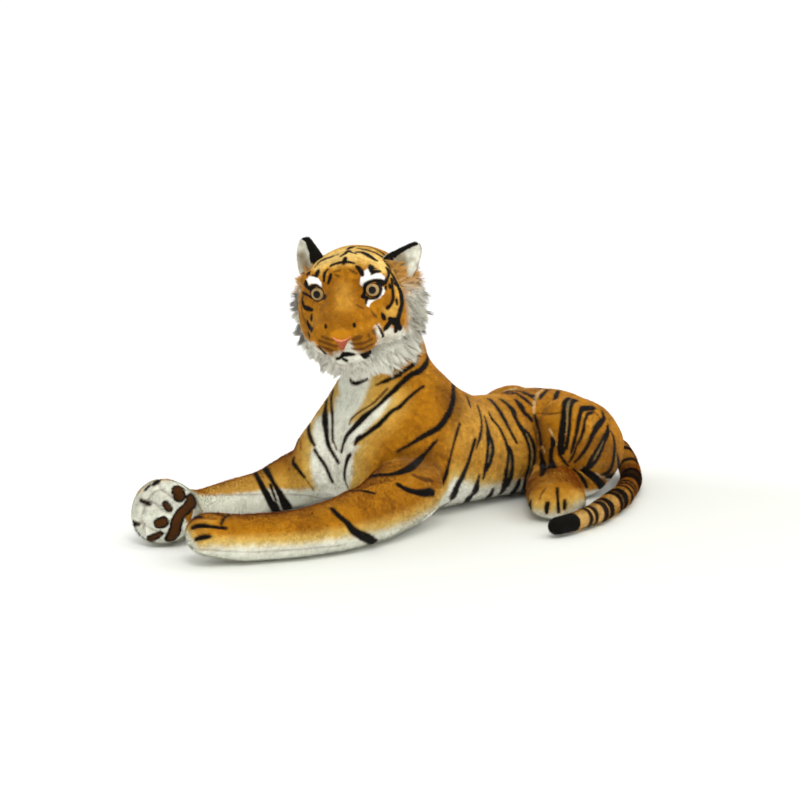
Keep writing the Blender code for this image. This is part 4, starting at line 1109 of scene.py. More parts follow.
def band_places():
    """Each band's middle and half width along the tail, and its darkness."""
    places = []
    for dark, first_px, last_px in TAIL_BANDS:
        ends = tail_share_px(*first_px), tail_share_px(*last_px)
        if None not in ends:
            places.append((sum(ends) / 2, abs(ends[0] - ends[1]) / 2, dark))
    return places


BAND_PLACES = band_places()
TAIL_TIP_SHARE = tail_share_px(*TAIL_TIP_PX)
TAIL_LENGTH = sum(math.dist(a, b) for a, b in zip(TAIL_LINE, TAIL_LINE[1:]))

# The width of a band's edge and its unevenness, then shares of the tail and strengths: where it turns to gold and to
# cream, and how a band's brown and black set in, in edges of the band
BAND_EDGE = 0.0030 / TAIL_LENGTH
BAND_FUZZ = ((0.0020, 0.020, 11), (0.0008, 0.005, 12))
TAIL_GOLD_BASE, TAIL_GOLD_MORE, TAIL_GOLD = 0.25, 0.70, (0.25, 0.62)
CREAM, CREAM_STRENGTH, CREAM_UNDER, UNDER = (0.45, 0.8), 0.25, 0.35, (0.2, 0.8)
BAND_BROWN, BAND_BROWN_STRENGTH = -1.3, 0.8
BAND_BLACK, UNDER_LIGHTER = (-0.25, 0.6), 0.25


def tail_coat(points, normals):
    share, _ = tail_shares(points)
    wave = share + layered(points, BAND_FUZZ) / TAIL_LENGTH
    under = ramp(-normals[:, 2], *UNDER)
    colours = orange_pile(points, TAIL_GOLD_BASE + TAIL_GOLD_MORE * ramp(share, *TAIL_GOLD))
    colours = mix(colours, TAIL_CREAM, ramp(share, *CREAM) * CREAM_STRENGTH + CREAM_UNDER * under)
    for place, half, dark in BAND_PLACES:
        depth = (half - np.abs(wave - place)) / BAND_EDGE
        colours = mix(colours, BROWN, ramp(depth, BAND_BROWN, 0) * BAND_BROWN_STRENGTH * dark)
        colours = mix(colours, TAIL_BLACK, ramp(depth, *BAND_BLACK) * dark * (1 - UNDER_LIGHTER * under))
    return mix(colours, BLACK, ramp((wave - TAIL_TIP_SHARE) / BAND_EDGE, -0.5, 0.5))


# Black and brown strokes of the face, then its zones
FACE_STROKES = [
    [(315.6, 267, 1), (320.4, 261.8, 2), (326, 259.2, 2.4), (332, 257.3, 2.2), (337.6, 255.2, 1.7)],
    [(341, 256.6, 1.2), (345.6, 253.6, 2), (348.6, 251, 1.7), (350.6, 252.5, 1.5), (355.2, 254, 1.5)],
    [(348, 249.6, 1.6), (351.6, 247.6, 3), (354.4, 247, 1.7)],
    [(356.6, 252.6, 1.8), (362, 252.9, 3.1), (367.6, 255.4, 3.4), (372, 258.2, 2.7), (376.3, 260.8, 1.4)],
    [(358, 248.8, 1.2), (366, 250.2, 1.5), (374, 252.6, 1.5), (381, 256.4, 1.5), (387, 261, 1.2)],
    [(358, 246.4, 1), (370, 247.4, 1.3), (380, 251.8, 1.5), (387, 257.6, 1.4)],
    [(345.3, 257.4, 1.2), (344.7, 260.4, 2.8), (343.6, 263.4, 2.4)],
    [(331, 265.6, 1.7), (336, 263.7, 1.8), (341, 262.5, 2.1), (348, 262.2, 1.9), (353.8, 263.5, 1.3)],
    [(327.7, 269.4, 1.1), (324.6, 273.5, 1.8), (323.9, 281, 1.7)],
    [(331, 274.6, 2), (329.8, 279, 2.5), (328.5, 283, 1.6)],
    [(356.6, 266.5, 1.6), (360.2, 270, 2.8), (362.5, 274.6, 2.5)],
    [(370, 265, 1.1), (371.6, 268, 3.3), (371, 271.2, 2.1)],
    [(371.6, 268.4, 2.2), (375.4, 268.7, 1.1)],
    [(371.6, 274, 1.3), (374.6, 271.6, 2.5), (380, 271.2, 1)],
    [(318.6, 270.4, 1), (317.6, 273, 2.6), (316.6, 275.6, 2.6)],
    [(317, 275.4, 2), (312.8, 275.6, 1.2)],
    [(308.8, 273, 2.2), (308.4, 274.4, 2)],
    [(383.6, 260.4, 1.2), (387.6, 265, 1.5), (390.4, 270, 1.4)],
    [(387.8, 269.6, 3.2), (387.3, 275, 4), (386.4, 279.4, 3.4), (383.4, 282.8, 4.6), (380.6, 284.4, 2.8)],
    [(363.4, 296, 3), (364.4, 292, 1.9), (364.1, 288.4, 1.9), (366, 284.6, 2.2), (370.4, 281.7, 2.2),
     (375.6, 280.4, 2.1), (379.6, 281.6, 2.8), (383.4, 283, 3)],
    [(362.2, 296.8, 2.6), (366.6, 297.6, 2.4)],
    [(366, 303.6, 1.2), (366.4, 300.4, 1.6), (367.4, 298, 1.8), (371, 298.9, 1.3), (376.4, 298, 1.3),
     (380.2, 294.4, 1.3), (381.8, 289, 1.3)],
    [(305.8, 281, 1.9), (307, 286.4, 3.5), (310.4, 289, 4.2), (312.6, 286.4, 2.3), (316, 285.5, 2),
     (319.6, 287.4, 1.9), (322.2, 291, 1.7), (323.2, 295, 1.6), (325.8, 297.5, 2.7)],
    [(311.2, 291.8, 1.6), (313.4, 297.6, 1.3), (317.4, 300.7, 1.3), (321.4, 299.3, 1.3), (325.6, 297.8, 1.6)],
    [(389.8, 272.2, 1.9), (393.8, 277.8, 2.1), (397.2, 284.4, 2.5), (400.4, 292, 2.9), (401.7, 300, 3.2),
     (401.3, 306.4, 3.2), (399.5, 313, 3.4), (397.9, 318.6, 3.5), (396.4, 324.6, 3.2), (396, 331, 2.4)],
    [(389.6, 318.8, 2.6), (393.6, 321, 4.4), (397.4, 322.6, 4.4)],
    [(390.6, 322, 3.2), (386.4, 326.8, 3.4), (384.4, 329.4, 1.8)],
    [(398.4, 326, 3), (400.6, 328.4, 2.4)],
    [(391, 279, 1.5), (392.3, 287, 2), (393, 294, 2.1), (392.7, 300, 2.1), (390.4, 305, 2.1), (387.4, 308, 2.4)],
    [(391.8, 278.6, 1), (395.4, 284.6, 2)],
    [(389.6, 285.4, 2.2), (390.2, 287.6, 2)],
    [(385.8, 286.6, 1.4), (385.4, 288.8, 1.4)],
    [(396.4, 300, 1.7), (396.8, 304, 1.4)],
    [(382, 313.6, 1.3), (383.5, 317, 3.2), (385, 319.4, 1.3)],
    [(378.4, 327.2, 1.4), (381, 332, 1.8), (382.8, 336.5, 1.4)],
    [(303, 292.6, 1.4), (307.6, 294.8, 1.2), (312.2, 297.8, 1.2)],
    [(303.4, 296, 1.2), (303, 302, 1.7), (304.6, 306.8, 2), (308, 308.5, 2.7), (312.5, 310, 1.6)],
    [(312.1, 315, 1.4), (311.8, 318.8, 2.6)],
    [(307.4, 321, 1.6), (309.2, 326, 3.4), (312.6, 330.6, 2.9)],
    [(308.8, 333.2, 1.4), (311.5, 339, 1.8), (314.7, 342.8, 1.3)],
    [(325.6, 325.4, 2), (325.8, 327, 2.2)],
    [(354.2, 324.4, 2), (354.4, 325.8, 2.2)],
    [(361.4, 354.6, 1.8), (366, 355.4, 4), (370.6, 353, 3.8), (373.6, 349.6, 2.2)],
    [(354, 354.4, 1.5), (347.4, 354.2, 3), (343.6, 354.8, 2.8), (340.6, 357.6, 1.8), (336.8, 359, 1.4)],
    [(343, 359, 1.4), (346.2, 360.5, 2.1)],
    [(318.6, 346.6, 0.9), (324, 352, 1.1), (329.6, 356.4, 1.5)],
]
FACE_BROWN = [
    [(333.5, 272.2, 1.1), (339.4, 270.6, 1.5)],
    [(335, 274.8, 1.1), (339, 276, 1.2)],
    [(349, 269, 0.9), (356.6, 273.6, 1.3)],
    [(302, 299, 0.9), (302.4, 312, 0.9), (305.6, 322, 1)],
    [(353.4, 339.4, 2.2), (358, 337.8, 3), (361.6, 336.6, 1.6)],
    [(373.9, 331, 1.8), (374.4, 332.8, 1.8)],
    [(368.8, 335, 1.6), (369.4, 336.6, 1.4)],
    [(322, 336.6, 1.2), (327, 338.6, 1.6), (333, 340.4, 1.2)],
    [(319.4, 340.4, 1.2), (325, 343, 1.7), (331, 344.8, 1.7), (336.4, 346.4, 1.2)],
    [(320.4, 345.4, 1.2), (325.6, 348, 1.6), (332, 350.4, 1.5)],
    [(351.6, 343.6, 1.2), (358, 344, 1.6), (365, 342.4, 1.6), (372, 338.6, 1.2)],
    [(352.6, 348.4, 1.2), (359, 349.2, 1.6), (366, 347.6, 1.6), (373, 343.4, 1.2)],
    [(357, 305.4, 0.9), (363, 308.6, 1.1)],
    [(371, 311, 0.9), (376, 317, 1.2)],
    [(388.4, 262, 1.2), (395.6, 274, 1.4), (401.4, 286, 1.4)],
]
LEFT_BROW = [(306.3, 279), (309.5, 276.4), (314, 276.8), (318, 278.8), (321.2, 282), (321.9, 286.8), (320, 287.2),
             (317, 284.2), (312, 283.2), (308.5, 285)]
RIGHT_BROW = [(360.2, 283.4), (360.7, 278), (362.4, 274), (365, 270.5), (368.5, 268.4), (370.6, 273), (376, 273.4),
              (381, 273.4), (384.2, 276.5), (385.2, 281), (380, 280), (373, 279.6), (368, 281.5), (364.5, 286.8),
              (362, 286.4)]
RIGHT_UNDER_EYE = [(383, 287), (385, 289.5), (383.8, 294.2), (379.2, 298.4), (373, 301.2), (370.4, 303), (369.2, 306.6),
                   (366.6, 305.8), (366.2, 302), (368.2, 299.4), (374, 298.6), (379.4, 295.6), (381.6, 291)]
LIP = [(345.4, 346), (350.6, 341.6), (351.6, 345), (354, 350), (361, 352.6), (352, 354), (345, 356), (338, 357.4),
       (331, 356.5), (335, 352.6), (343, 350.8)]
RIGHT_WHITE = [(375.4, 327), (378, 325), (383.4, 336), (386, 331), (391, 326), (395, 332), (402, 327), (406, 334),
               (398, 345), (388, 352), (378, 360), (364, 360), (373, 352), (376.4, 345), (378.6, 338)]
CHIN = [(313, 343), (318, 348), (326, 353.5), (333, 356.4), (345, 356), (362, 353), (372, 352.4), (385, 349),
        (396, 343), (404, 356), (380, 390), (345, 390), (316, 374), (306, 355)]
FOREHEAD = [(311, 269), (317, 259), (326, 252), (340, 247), (360, 246), (376, 250), (388, 260), (391, 270), (384, 275),
            (376, 271), (368, 266), (360, 263), (352, 266), (345, 265), (336, 267), (327, 268), (322, 276), (318, 273)]
TEMPLE = [(388, 262), (396, 272), (402, 288), (398, 300), (394, 286), (388, 274)]
CHEEK_STRIP = [(394, 303), (399, 305), (397, 313), (393, 318), (386, 316), (384, 309), (389, 310)]
BRIDGE = [(337, 284), (348, 284), (353, 295), (354, 306), (347, 311), (337, 310), (334, 300)]
LEFT_HOLLOW = [(324, 283), (335, 281), (335, 300), (331, 318), (324, 322), (320, 310), (326, 298)]
RIGHT_HOLLOW = [(350, 280), (361, 278), (361, 292), (364, 304), (374, 318), (366, 322), (358, 310), (353, 296)]
MUZZLE_SHADE = [(332, 312), (352, 311), (360, 322), (352, 330), (340, 328), (330, 328), (324, 320)]
LOW_MUZZLE = [(316, 331), (330, 333), (333, 342), (341, 351), (330, 355), (320, 348)]
LOW_MUZZLE_RIGHT = [(352, 336), (364, 330), (377, 328), (376, 342), (370, 350), (356, 352), (348, 344)]

HEAD_BLACK = paint(HEAD_SKIN, FACE_STROKES, WIDER_FACE)
HEAD_BROWN = paint(HEAD_SKIN, FACE_BROWN, WIDER_FACE_BROWN)

# Arcs over the crown and the back of the head, in the head's own frame, laid on both sides
CROWN_ARCS = [
    (0.006, [(0.000, 0.038, 0.112), (0.000, 0.060, 0.105)]),
    (0.006, [(0.024, 0.050, 0.104), (0.036, 0.064, 0.092), (0.040, 0.084, 0.072)]),
    (0.007, [(0.050, 0.040, 0.094), (0.062, 0.056, 0.080), (0.066, 0.078, 0.056)]),
    (0.007, [(0.074, 0.052, 0.070), (0.084, 0.066, 0.042), (0.082, 0.082, 0.010)]),
    (0.007, [(0.010, 0.080, 0.088), (0.018, 0.100, 0.058), (0.020, 0.112, 0.022)]),
    (0.007, [(0.044, 0.092, 0.060), (0.050, 0.104, 0.028), (0.044, 0.108, -0.012)]),
    (0.006, [(0.010, 0.112, -0.004), (0.022, 0.106, -0.034), (0.034, 0.094, -0.058)]),
]
for width, arc in CROWN_ARCS:
    for sign in SIDES.values():
        HEAD_BLACK.stroke(HEAD_SKIN, width, [HEAD @ Vector((sign * a, b, c)) for a, b, c in arc])


def head_local(points):
    m = np.array(HEAD.inverted())
    return points @ m[:3, :3].T + m[:3, 3]


# The unevenness of the face's edges, and the way of the skin from which its marks are sprayed
HEAD_FUZZ = ((0.0016, 0.007, 21), (0.0010, 0.003, 22))
FACE_FACING = (-0.1, 0.15)

# Tones of the face: colour, outlines, roughness, start, full and strength
FACE_TONES = (
    (GOLD, (FOREHEAD,), 2, -0.010, 0.008, 0.95),
    (SAND, (FOREHEAD,), 4, -0.002, 0.014, 0.70),
    (GOLD, (TEMPLE, CHEEK_STRIP), 1, -0.008, 0.004, 0.75),
    (GOLD, (BRIDGE,), 1, -0.016, 0.012, 0.30),
    # Painted shade: the hollows beside the eyes and the shaded part of the muzzle are darkened
    (DEEP_ORANGE, (LEFT_HOLLOW, RIGHT_HOLLOW, MUZZLE_SHADE), 1, -0.010, 0.008, 0.60),
    (MUZZLE_BROWN, (LOW_MUZZLE, LOW_MUZZLE_RIGHT), 1, -0.008, 0.008, 0.45),
)
BROW_TONES = ((BRIGHT_WHITE, (LEFT_BROW, RIGHT_BROW, RIGHT_UNDER_EYE), 0.5, -0.0014, 0.0010, 1),)

# The white behind the cheeks and under the chin, in the head's own frame, and that of the muzzle
RIM_SLOPE, RIM_Y, RIM_Z, REAR_Y = 0.35, (-0.004, 0.034), (0.040, 0.000), (0.052, 0.080)
THROAT_SLOPE, THROAT_Y, THROAT_Z = 0.35, 0.08, (-0.060, -0.074)
FACE_WHITES = ((RIGHT_WHITE, 0.92), (CHIN, 1), (LIP, 1))
FACE_WHITE, FACE_WHITE_ROUGH = (-0.0055, 0.0035), 1.5
FACE_GREY, FACE_GREY_GRAIN = 0.22, 0.010
HEAD_MARKS = (
    (HEAD_BROWN, 0.005, 0.4, ((WHISKER_BROWN, -0.0020, 0.0008, 0.75),)),
    (HEAD_BLACK, 0.006, 0.30, ((BROWN, -0.0026, -0.0006, 0.45), (BLACK, -0.0011, 0.0007, 1))),
)


def toned(colours, points, fuzz, facing, tones):
    """The colours under tones that fill outlines of the view."""
    for colour, outlines, rough, low, high, strength in tones:
        for outline in outlines:
            colours = mix(colours, colour, ramp(zone(points, outline) + rough * fuzz, low, high) * facing * strength)
    return colours


def head_coat(points, normals):
    x, y, z = head_local(points).T
    fuzz = layered(points, HEAD_FUZZ)
    facing = ramp(normals @ BACK, *FACE_FACING)
    colours = toned(orange_pile(points, fine=HEAD_CLOUDS), points, fuzz, facing, FACE_TONES)
    rim = ramp(y + RIM_SLOPE * np.abs(x), *RIM_Y) * ramp(z, *RIM_Z)
    throat = ramp(z - THROAT_SLOPE * (y + THROAT_Y), *THROAT_Z)
    white = np.maximum(rim * (1 - ramp(y, *REAR_Y)), throat)
    for outline, share in FACE_WHITES:
        inside = zone(points, outline) + FACE_WHITE_ROUGH * fuzz
        white = np.maximum(white, ramp(inside, *FACE_WHITE) * facing * share)
    colours = mix(colours, pale_pile(points, FACE_GREY, FACE_GREY_GRAIN), white)
    colours = toned(colours, points, fuzz, facing, BROW_TONES)
    for mark in HEAD_MARKS:
        colours = sprayed(colours, points, fuzz, *mark)
    return colours


# Black edges of the ears, and the parts of their linings that lie in shadow
EAR_EDGES = {
    "right": [[(303, 236, 3), (308, 240, 6.5), (312.6, 247, 7), (316, 255, 7.5), (319, 261, 7)],
              [(310.6, 254, 3), (312.4, 262, 4)], [(310, 238, 5), (315, 244, 7), (319.5, 252, 8), (322, 259, 7)],
              [(308, 243, 4), (311.4, 250, 6), (314.4, 258, 7), (317, 264, 7)]],
    "left": [[(389, 259, 7), (393.4, 254.6, 7), (399.6, 250, 6.4), (406.6, 246.4, 5.4), (412.6, 244.2, 4.6),
              (416.4, 243.4, 3.4)],
             [(385, 260, 4), (388.6, 257.4, 5), (392.4, 259.6, 2.2)]],
}
EAR_SHADES = {"right": [[(301.6, 256, 8), (304.4, 264, 9)]], "left": [[(397, 254, 9), (401, 262, 12)]]}
EAR_BLACK = {side: paint(EARS[side], EAR_EDGES[side]) for side in EARS}
EAR_SHADE = {side: paint(EARS[side], EAR_SHADES[side]) for side in EARS}
EAR_FUZZ = ((0.0010, 0.004, 32),)
EAR_TIP_FUZZ = ((0.003, 0.006, 31),)
EAR_TIP_Z = (0.078, 0.090)
EAR_FRONT = (-0.05, 0.25)
EAR_GOLD = 0.2
EAR_GREY, EAR_GREY_GRAIN = 0.62, 0.008
EAR_SHADE_TONES = ((EAR_SHADOW, -0.010, 0.006, 0.85),)
EAR_BLACK_TONES = ((BLACK, -0.0010, 0.0010, 1),)


def ear_coat(points, normals):
    ahead = np.array(HEAD.to_3x3() @ Vector((0, -1, 0)))
    local = head_local(points)
    side = "left" if local[:, 0].mean() > 0 else "right"
    fuzz = layered(points, EAR_FUZZ)
    colours = orange_pile(points, EAR_GOLD)
    colours = mix(colours, BLACK, ramp(local[:, 2] + layered(points, EAR_TIP_FUZZ), *EAR_TIP_Z))
    pale = pale_pile(points, EAR_GREY, EAR_GREY_GRAIN)
    pale = sprayed(pale, points, fuzz, EAR_SHADE[side], 0.012, 1, EAR_SHADE_TONES)
    colours = mix(colours, pale, ramp(normals @ ahead, *EAR_FRONT))
    return sprayed(colours, points, fuzz, EAR_BLACK[side], 0.006, 1, EAR_BLACK_TONES)


# Pieces


def new_material(name, settings):
    """A material with those settings, as the material, its nodes, its links and its shader."""
    material = bpy.data.materials.new(name)
    material.use_nodes = True
    tree = material.node_tree
    shader = tree.nodes["Principled BSDF"]
    for socket, value in settings.items():
        shader.inputs[socket].default_value = value
    return material, tree.nodes, tree.links, shader


def grain_of(nodes, links, scale, detail=2):
    """A fine noise in the piece's own coordinates."""
    place = nodes.new("ShaderNodeTexCoord")
    grain = nodes.new("ShaderNodeTexNoise")
    grain.inputs["Scale"].default_value = scale
    grain.inputs["Detail"].default_value = detail
    links.new(place.outputs["Object"], grain.inputs["Vector"])
    return grain.outputs["Fac"]


def ranged(nodes, links, source, low, high):
    spread = nodes.new("ShaderNodeMapRange")
    spread.inputs["To Min"].default_value = low
    spread.inputs["To Max"].default_value = high
    links.new(source, spread.inputs["Value"])
    return spread.outputs["Result"]


def colour_mix(nodes, links, shader, kind):
    """A mix of two colours that feeds the shader's colour."""
    blend = nodes.new("ShaderNodeMix")
    blend.data_type = "RGBA"
    blend.blend_type = kind
    links.new(blend.outputs["Result"], shader.inputs["Base Color"])
    return blend


def tinted_material(name, scale, detail, low, high, settings):
    """The mesh's own tint, brightened and darkened from low to high by a fine noise."""
    material, nodes, links, shader = new_material(name, settings)
    grain = grain_of(nodes, links, scale, detail)
    tint = nodes.new("ShaderNodeAttribute")
    tint.attribute_name = "tint"
    blend = colour_mix(nodes, links, shader, "MULTIPLY")
    blend.inputs["Factor"].default_value = 1
    links.new(tint.outputs["Color"], blend.inputs["A"])
    links.new(ranged(nodes, links, grain, low, high), blend.inputs["B"])
    return material, nodes, links, shader, grain


MOTTLE_DETAIL = 3
MOTTLE_SPREAD = 0.18
NAP_BUMP = 0.35
PLUSH = {"Sheen Weight": 0.04, "Sheen Roughness": 0.5, "Specular IOR Level": 0.08}


def pile_material(name, tone, roughness, grain_size):
    """Plush fabric: the sprayed tint, finer mottling, a rough sheen and a nap that is felt as bump."""
    low, high = tone * (1 - MOTTLE_SPREAD), tone * (1 + MOTTLE_SPREAD)
    settings = {**PLUSH, "Roughness": roughness}
    material, nodes, links, shader, grain = tinted_material(name, 1 / grain_size, MOTTLE_DETAIL, low, high, settings)
    bump = nodes.new("ShaderNodeBump")
    bump.inputs["Strength"].default_value = NAP_BUMP
    bump.inputs["Distance"].default_value = grain_size
    links.new(grain, bump.inputs["Height"])
    links.new(bump.outputs["Normal"], shader.inputs["Normal"])
    return material


# Name, tone, roughness and grain of each
# The backing is toned a little darker than the pile, as painted shade between the hairs; the nose's felt uses it as
# well
SKIN_CLOTH = pile_material("plush_backing", 0.92, 0.92, 0.0016)
PILE = pile_material("plush_pile", 1.0, 0.80, 0.0022)
LONG_PILE = pile_material("long_plush_pile", 1.0, 0.72, 0.0030)


def make_piece(name, points, faces, normals, colours, material):
    """A mesh object with a tint and a normal at each point."""
    mesh = bpy.data.meshes.new(name)
    mesh.vertices.add(len(points))
    mesh.vertices.foreach_set("co", np.ascontiguousarray(points, np.float32).ravel())
    mesh.loops.add(faces.size)
    mesh.loops.foreach_set("vertex_index", np.ascontiguousarray(faces, np.int32).ravel())
    mesh.polygons.add(len(faces))
    mesh.polygons.foreach_set("loop_start", np.arange(0, faces.size, faces.shape[1], dtype=np.int32))
    mesh.update(calc_edges=True)
    tint = mesh.color_attributes.new("tint", "FLOAT_COLOR", "POINT")
    tint.data.foreach_set("color", np.column_stack([colours, np.ones(len(colours))]).astype(np.float32).ravel())
    mesh.polygons.foreach_set("use_smooth", np.ones(len(faces), bool))
    mesh.normals_split_custom_set_from_vertices(np.ascontiguousarray(normals, np.float32))
    mesh.materials.append(material)
    piece = bpy.data.objects.new(name, mesh)
    bpy.context.scene.collection.objects.link(piece)
    return piece


def cut(skin, chosen):
    """The points that the chosen quads use, and those quads with the points counted anew."""
    quads = skin.quads[chosen]
    used = np.zeros(len(skin.points), bool)
    used[quads.ravel()] = True
    index = np.cumsum(used) - 1
    return used, index[quads]


# Where the skins of the forelegs begin, the way along which they run, and a length along that way

LEG_START = np.array((-0.232, -0.066, 0.090))
LEG_WAY = np.array((-0.60, -0.63, -0.45)) / np.linalg.norm((-0.60, -0.63, -0.45))
LEG_BLEND = 0.045
LEG_REGION_X = -0.10
NECK_START = (-0.14, 0.0, 0.245)
REGION_NAMES = ["torso", "foreleg_left", "foreleg_right", "neck"]
TORSO, LEFT_LEG, RIGHT_LEG, NECK = range(4)
SMOOTH_ROUNDS = 3


def flipped(v):
    return np.array((v[0], -v[1], v[2]))


def body_regions(places):
    """Which of the body's pieces each place belongs to."""
    region = np.full(len(places), TORSO)
    region[places[:, 2] > NECK_START[2]] = NECK
    low = (places[:, 0] < LEG_REGION_X) & (region == TORSO)
    region[low & ((places - LEG_START) @ LEG_WAY > 0) & (places[:, 1] < 0)] = LEFT_LEG
    region[low & ((places - flipped(LEG_START)) @ flipped(LEG_WAY) > 0) & (places[:, 1] > 0)] = RIGHT_LEG
    return region


def attach(piece, region):
    if region == "torso":
        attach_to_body(piece, "root")
    elif region == "neck":
        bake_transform(piece)
    elif region == "tail":
        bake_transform(piece)
    elif region in ("foreleg_left", "foreleg_right"):
        turn = flipped if region.endswith("right") else np.array
        tuple(turn(LEG_START))
        tuple(turn(LEG_START + LEG_WAY * LEG_BLEND))
        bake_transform(piece)
    else:
        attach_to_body(piece, "head")


def shell(name, skin, chosen, region, coat, nodes=()):
    """The padded cloth of a region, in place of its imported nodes."""
    used, quads = cut(skin, chosen)
    normals = skin.soft[used]
    piece = make_piece(name, skin.points[used], quads, normals, coat(skin.points[used], normals), SKIN_CLOTH)
    attach(piece, region)
    if nodes:
        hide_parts(*nodes)


def every(skin):
    """All quads of a skin, chosen."""
    return np.ones(len(skin.quads), bool)


for skin in (BODY, HEAD_SKIN, TAIL, EARS["left"], EARS["right"]):
    skin.soft = skin.smooth_normals(SMOOTH_ROUNDS)
BODY_CENTRES = BODY.points[BODY.quads].mean(axis=1)
BODY_PART = body_regions(BODY_CENTRES)

HAUNCHES = [stem + "_" + side for stem in ("thigh", "hind_paw") for side in SIDES]
REPLACED = {"torso": both("torso") + [node for stem in HAUNCHES for node in both(stem)],
            "foreleg_left": both("foreleg_left"), "foreleg_right": both("foreleg_right"), "neck": []}
for number, region in enumerate(REGION_NAMES):
    shell(region + "_skin", BODY, BODY_PART == number, region, body_coat, REPLACED[region])
shell("tail_skin", TAIL, every(TAIL), "tail", tail_coat, both("tail_base") + both("tail_end"))
shell("head_skin", HEAD_SKIN, every(HEAD_SKIN), "head", head_coat, both("head"))
for side, skin in EARS.items():
    shell("ear_%s_skin" % side, skin, every(skin), "head", ear_coat, ear_nodes(side))


# The pile


def sow(skin, chosen, patch, seed):
    """Roots spread evenly over the chosen quads, one per patch of that area, with the cloth's normal there."""
    random = np.random.default_rng(seed)
    areas = skin.face_areas * chosen
    total = np.cumsum(areas)
    count = int(total[-1] / patch)
    quads = np.searchsorted(total, (np.arange(count) + random.random(count)) * total[-1] / count)
    quads = skin.quads[np.minimum(quads, len(areas) - 1)]
    u, v = random.random((2, count, 1))
    shares = ((1 - u) * (1 - v), u * (1 - v), u * v, (1 - u) * v)
    points = sum(w * skin.points[quads[:, i]] for i, w in enumerate(shares))
    normals = sum(w * skin.soft[quads[:, i]] for i, w in enumerate(shares))
    return points, unit(normals), random


def along(flow, normals):
    """The flow laid flat on the cloth, as unit vectors."""
    return unit(flow - normals * (flow * normals).sum(1)[:, None], TINY)


def grid_layout(mesh, cells, corners):
    """Each strand gets its own cell of the map, root to tip, in the order in which the strands stand."""
    count = len(cells)
    layout = mesh.uv_layers.new(name="OFBake")
    side = int(math.ceil(math.sqrt(count)))
    index = np.arange(count)
    origins = np.column_stack([index % side, index // side])
    places = (origins[:, None, :] + cells) / side
    layout.data.foreach_set("uv", places.reshape(-1, 2)[corners].astype(np.float32).ravel())


# How the blades of pile vary: scatter of their way along the nap, of their lean and of their shine, ranges of length,
# width and tone, and noises of length, of tone and of the lie of the shine: height, size and seed each
NAP_SCATTER, LEAN_SCATTER, LIE_SCATTER, LIE_SWAY = 0.32, 0.16, 0.16, 0.42
BLADE_LENGTHS, BLADE_WIDTHS, BLADE_TONES = (0.75, 1.2), (0.8, 1.25), (0.76, 1.22)
LENGTH_NOISE = ((0.25, 0.02, 40),)
CRUSH = ((0.28, 0.0045, 41), (0.20, 0.010, 42), (0.09, 0.028, 46))
LIE_SIZE, LIE_SEEDS = 0.0075, (43, 44, 45)
COLOUR_REACH = 0.6
# Blades are painted darker at the root, as shade between the hairs, and lighter at the tip, as painted light on them
ROOT_SHADE, TIP_SHADE = 0.72, 1.12
ROOT_DEPTH = 0.0004
FLOOR_GAP = 0.0004
# Under the toy, no pile grows this close to the floor on cloth that faces this far down
BARE_Z, BARE_DOWN = 0.006, -0.6
BLADE_CELL = np.array([[0.1, 0.1], [0.9, 0.1], [0.5, 0.9]])


def pile(name, skin, chosen, region, coat, flow, patch, nap, seed, gap=None):
    """One tapering blade of pile per root. The nap is given as its length, width and lean."""
    length, width, lean = nap
    points, normals, random = sow(skin, chosen, patch, seed)
    keep = (points[:, 2] > BARE_Z) | (normals[:, 2] > BARE_DOWN)
    if gap is not None:
        keep &= gap(points)
    points, normals = points[keep], normals[keep]
    count = len(points)
    nap = along(flow(points, normals) + NAP_SCATTER * random.normal(size=(count, 3)), normals)
    sizes = length * random.uniform(*BLADE_LENGTHS, count) * (1 + layered(points, LENGTH_NOISE))
    colours = coat(points + nap * (COLOUR_REACH * lean * sizes)[:, None], normals)
    way = nap * lean + normals * math.sqrt(1 - lean * lean)
    way = way + LEAN_SCATTER * random.normal(size=(count, 3))
    half = (width / 2 * random.uniform(*BLADE_WIDTHS, count))[:, None] * unit(np.cross(way, normals), TINY)
    base = points - normals * ROOT_DEPTH
    strand = np.stack([base - half, base + half, points + way * sizes[:, None]], axis=1)
    strand[:, :, 2] = np.maximum(strand[:, :, 2], FLOOR_GAP)
    faces = np.arange(count * 3).reshape(-1, 3)
    tone = (random.uniform(*BLADE_TONES, count) * (1 + layered(points, CRUSH)))[:, None]
    root = colours * tone * ROOT_SHADE
    shade = np.stack([root, root, np.minimum(colours * tone * TIP_SHADE, 1)], axis=1)
    lie = normals + LIE_SCATTER * random.normal(size=(count, 3))
    lie += LIE_SWAY * np.column_stack([noise(points, LIE_SIZE, s) for s in LIE_SEEDS])
    lies = np.repeat(unit(lie), 3, axis=0)
    piece = make_piece(name, strand.reshape(-1, 3), faces, lies, shade.reshape(-1, 3), PILE)
    grid_layout(piece.data, np.broadcast_to(BLADE_CELL, (count, 3, 2)), np.arange(count * 3))
    attach(piece, region)


# Ways of the nap along the body, the forelegs, the chest and the hind feet, and where each takes over
BACK_WAY, LEGS_WAY, CHEST_WAY, FOOT_WAY = (1.0, 0.0, -0.55), (-1.0, 0.0, -0.35), (0.0, 0.0, -1.0), (-0.7, 0.0, -0.5)
LEGS_FLOW_X, LEGS_FLOW_Z = (-0.20, -0.26), (0.20, 0.13)
FOOT_FLOW_X, FOOT_FLOW_Y, FOOT_FLOW_Z = (0.24, 0.18), (0.14, 0.18), (0.12, 0.09)
CHEST_FLOW_FACING = (0.2, 0.7)


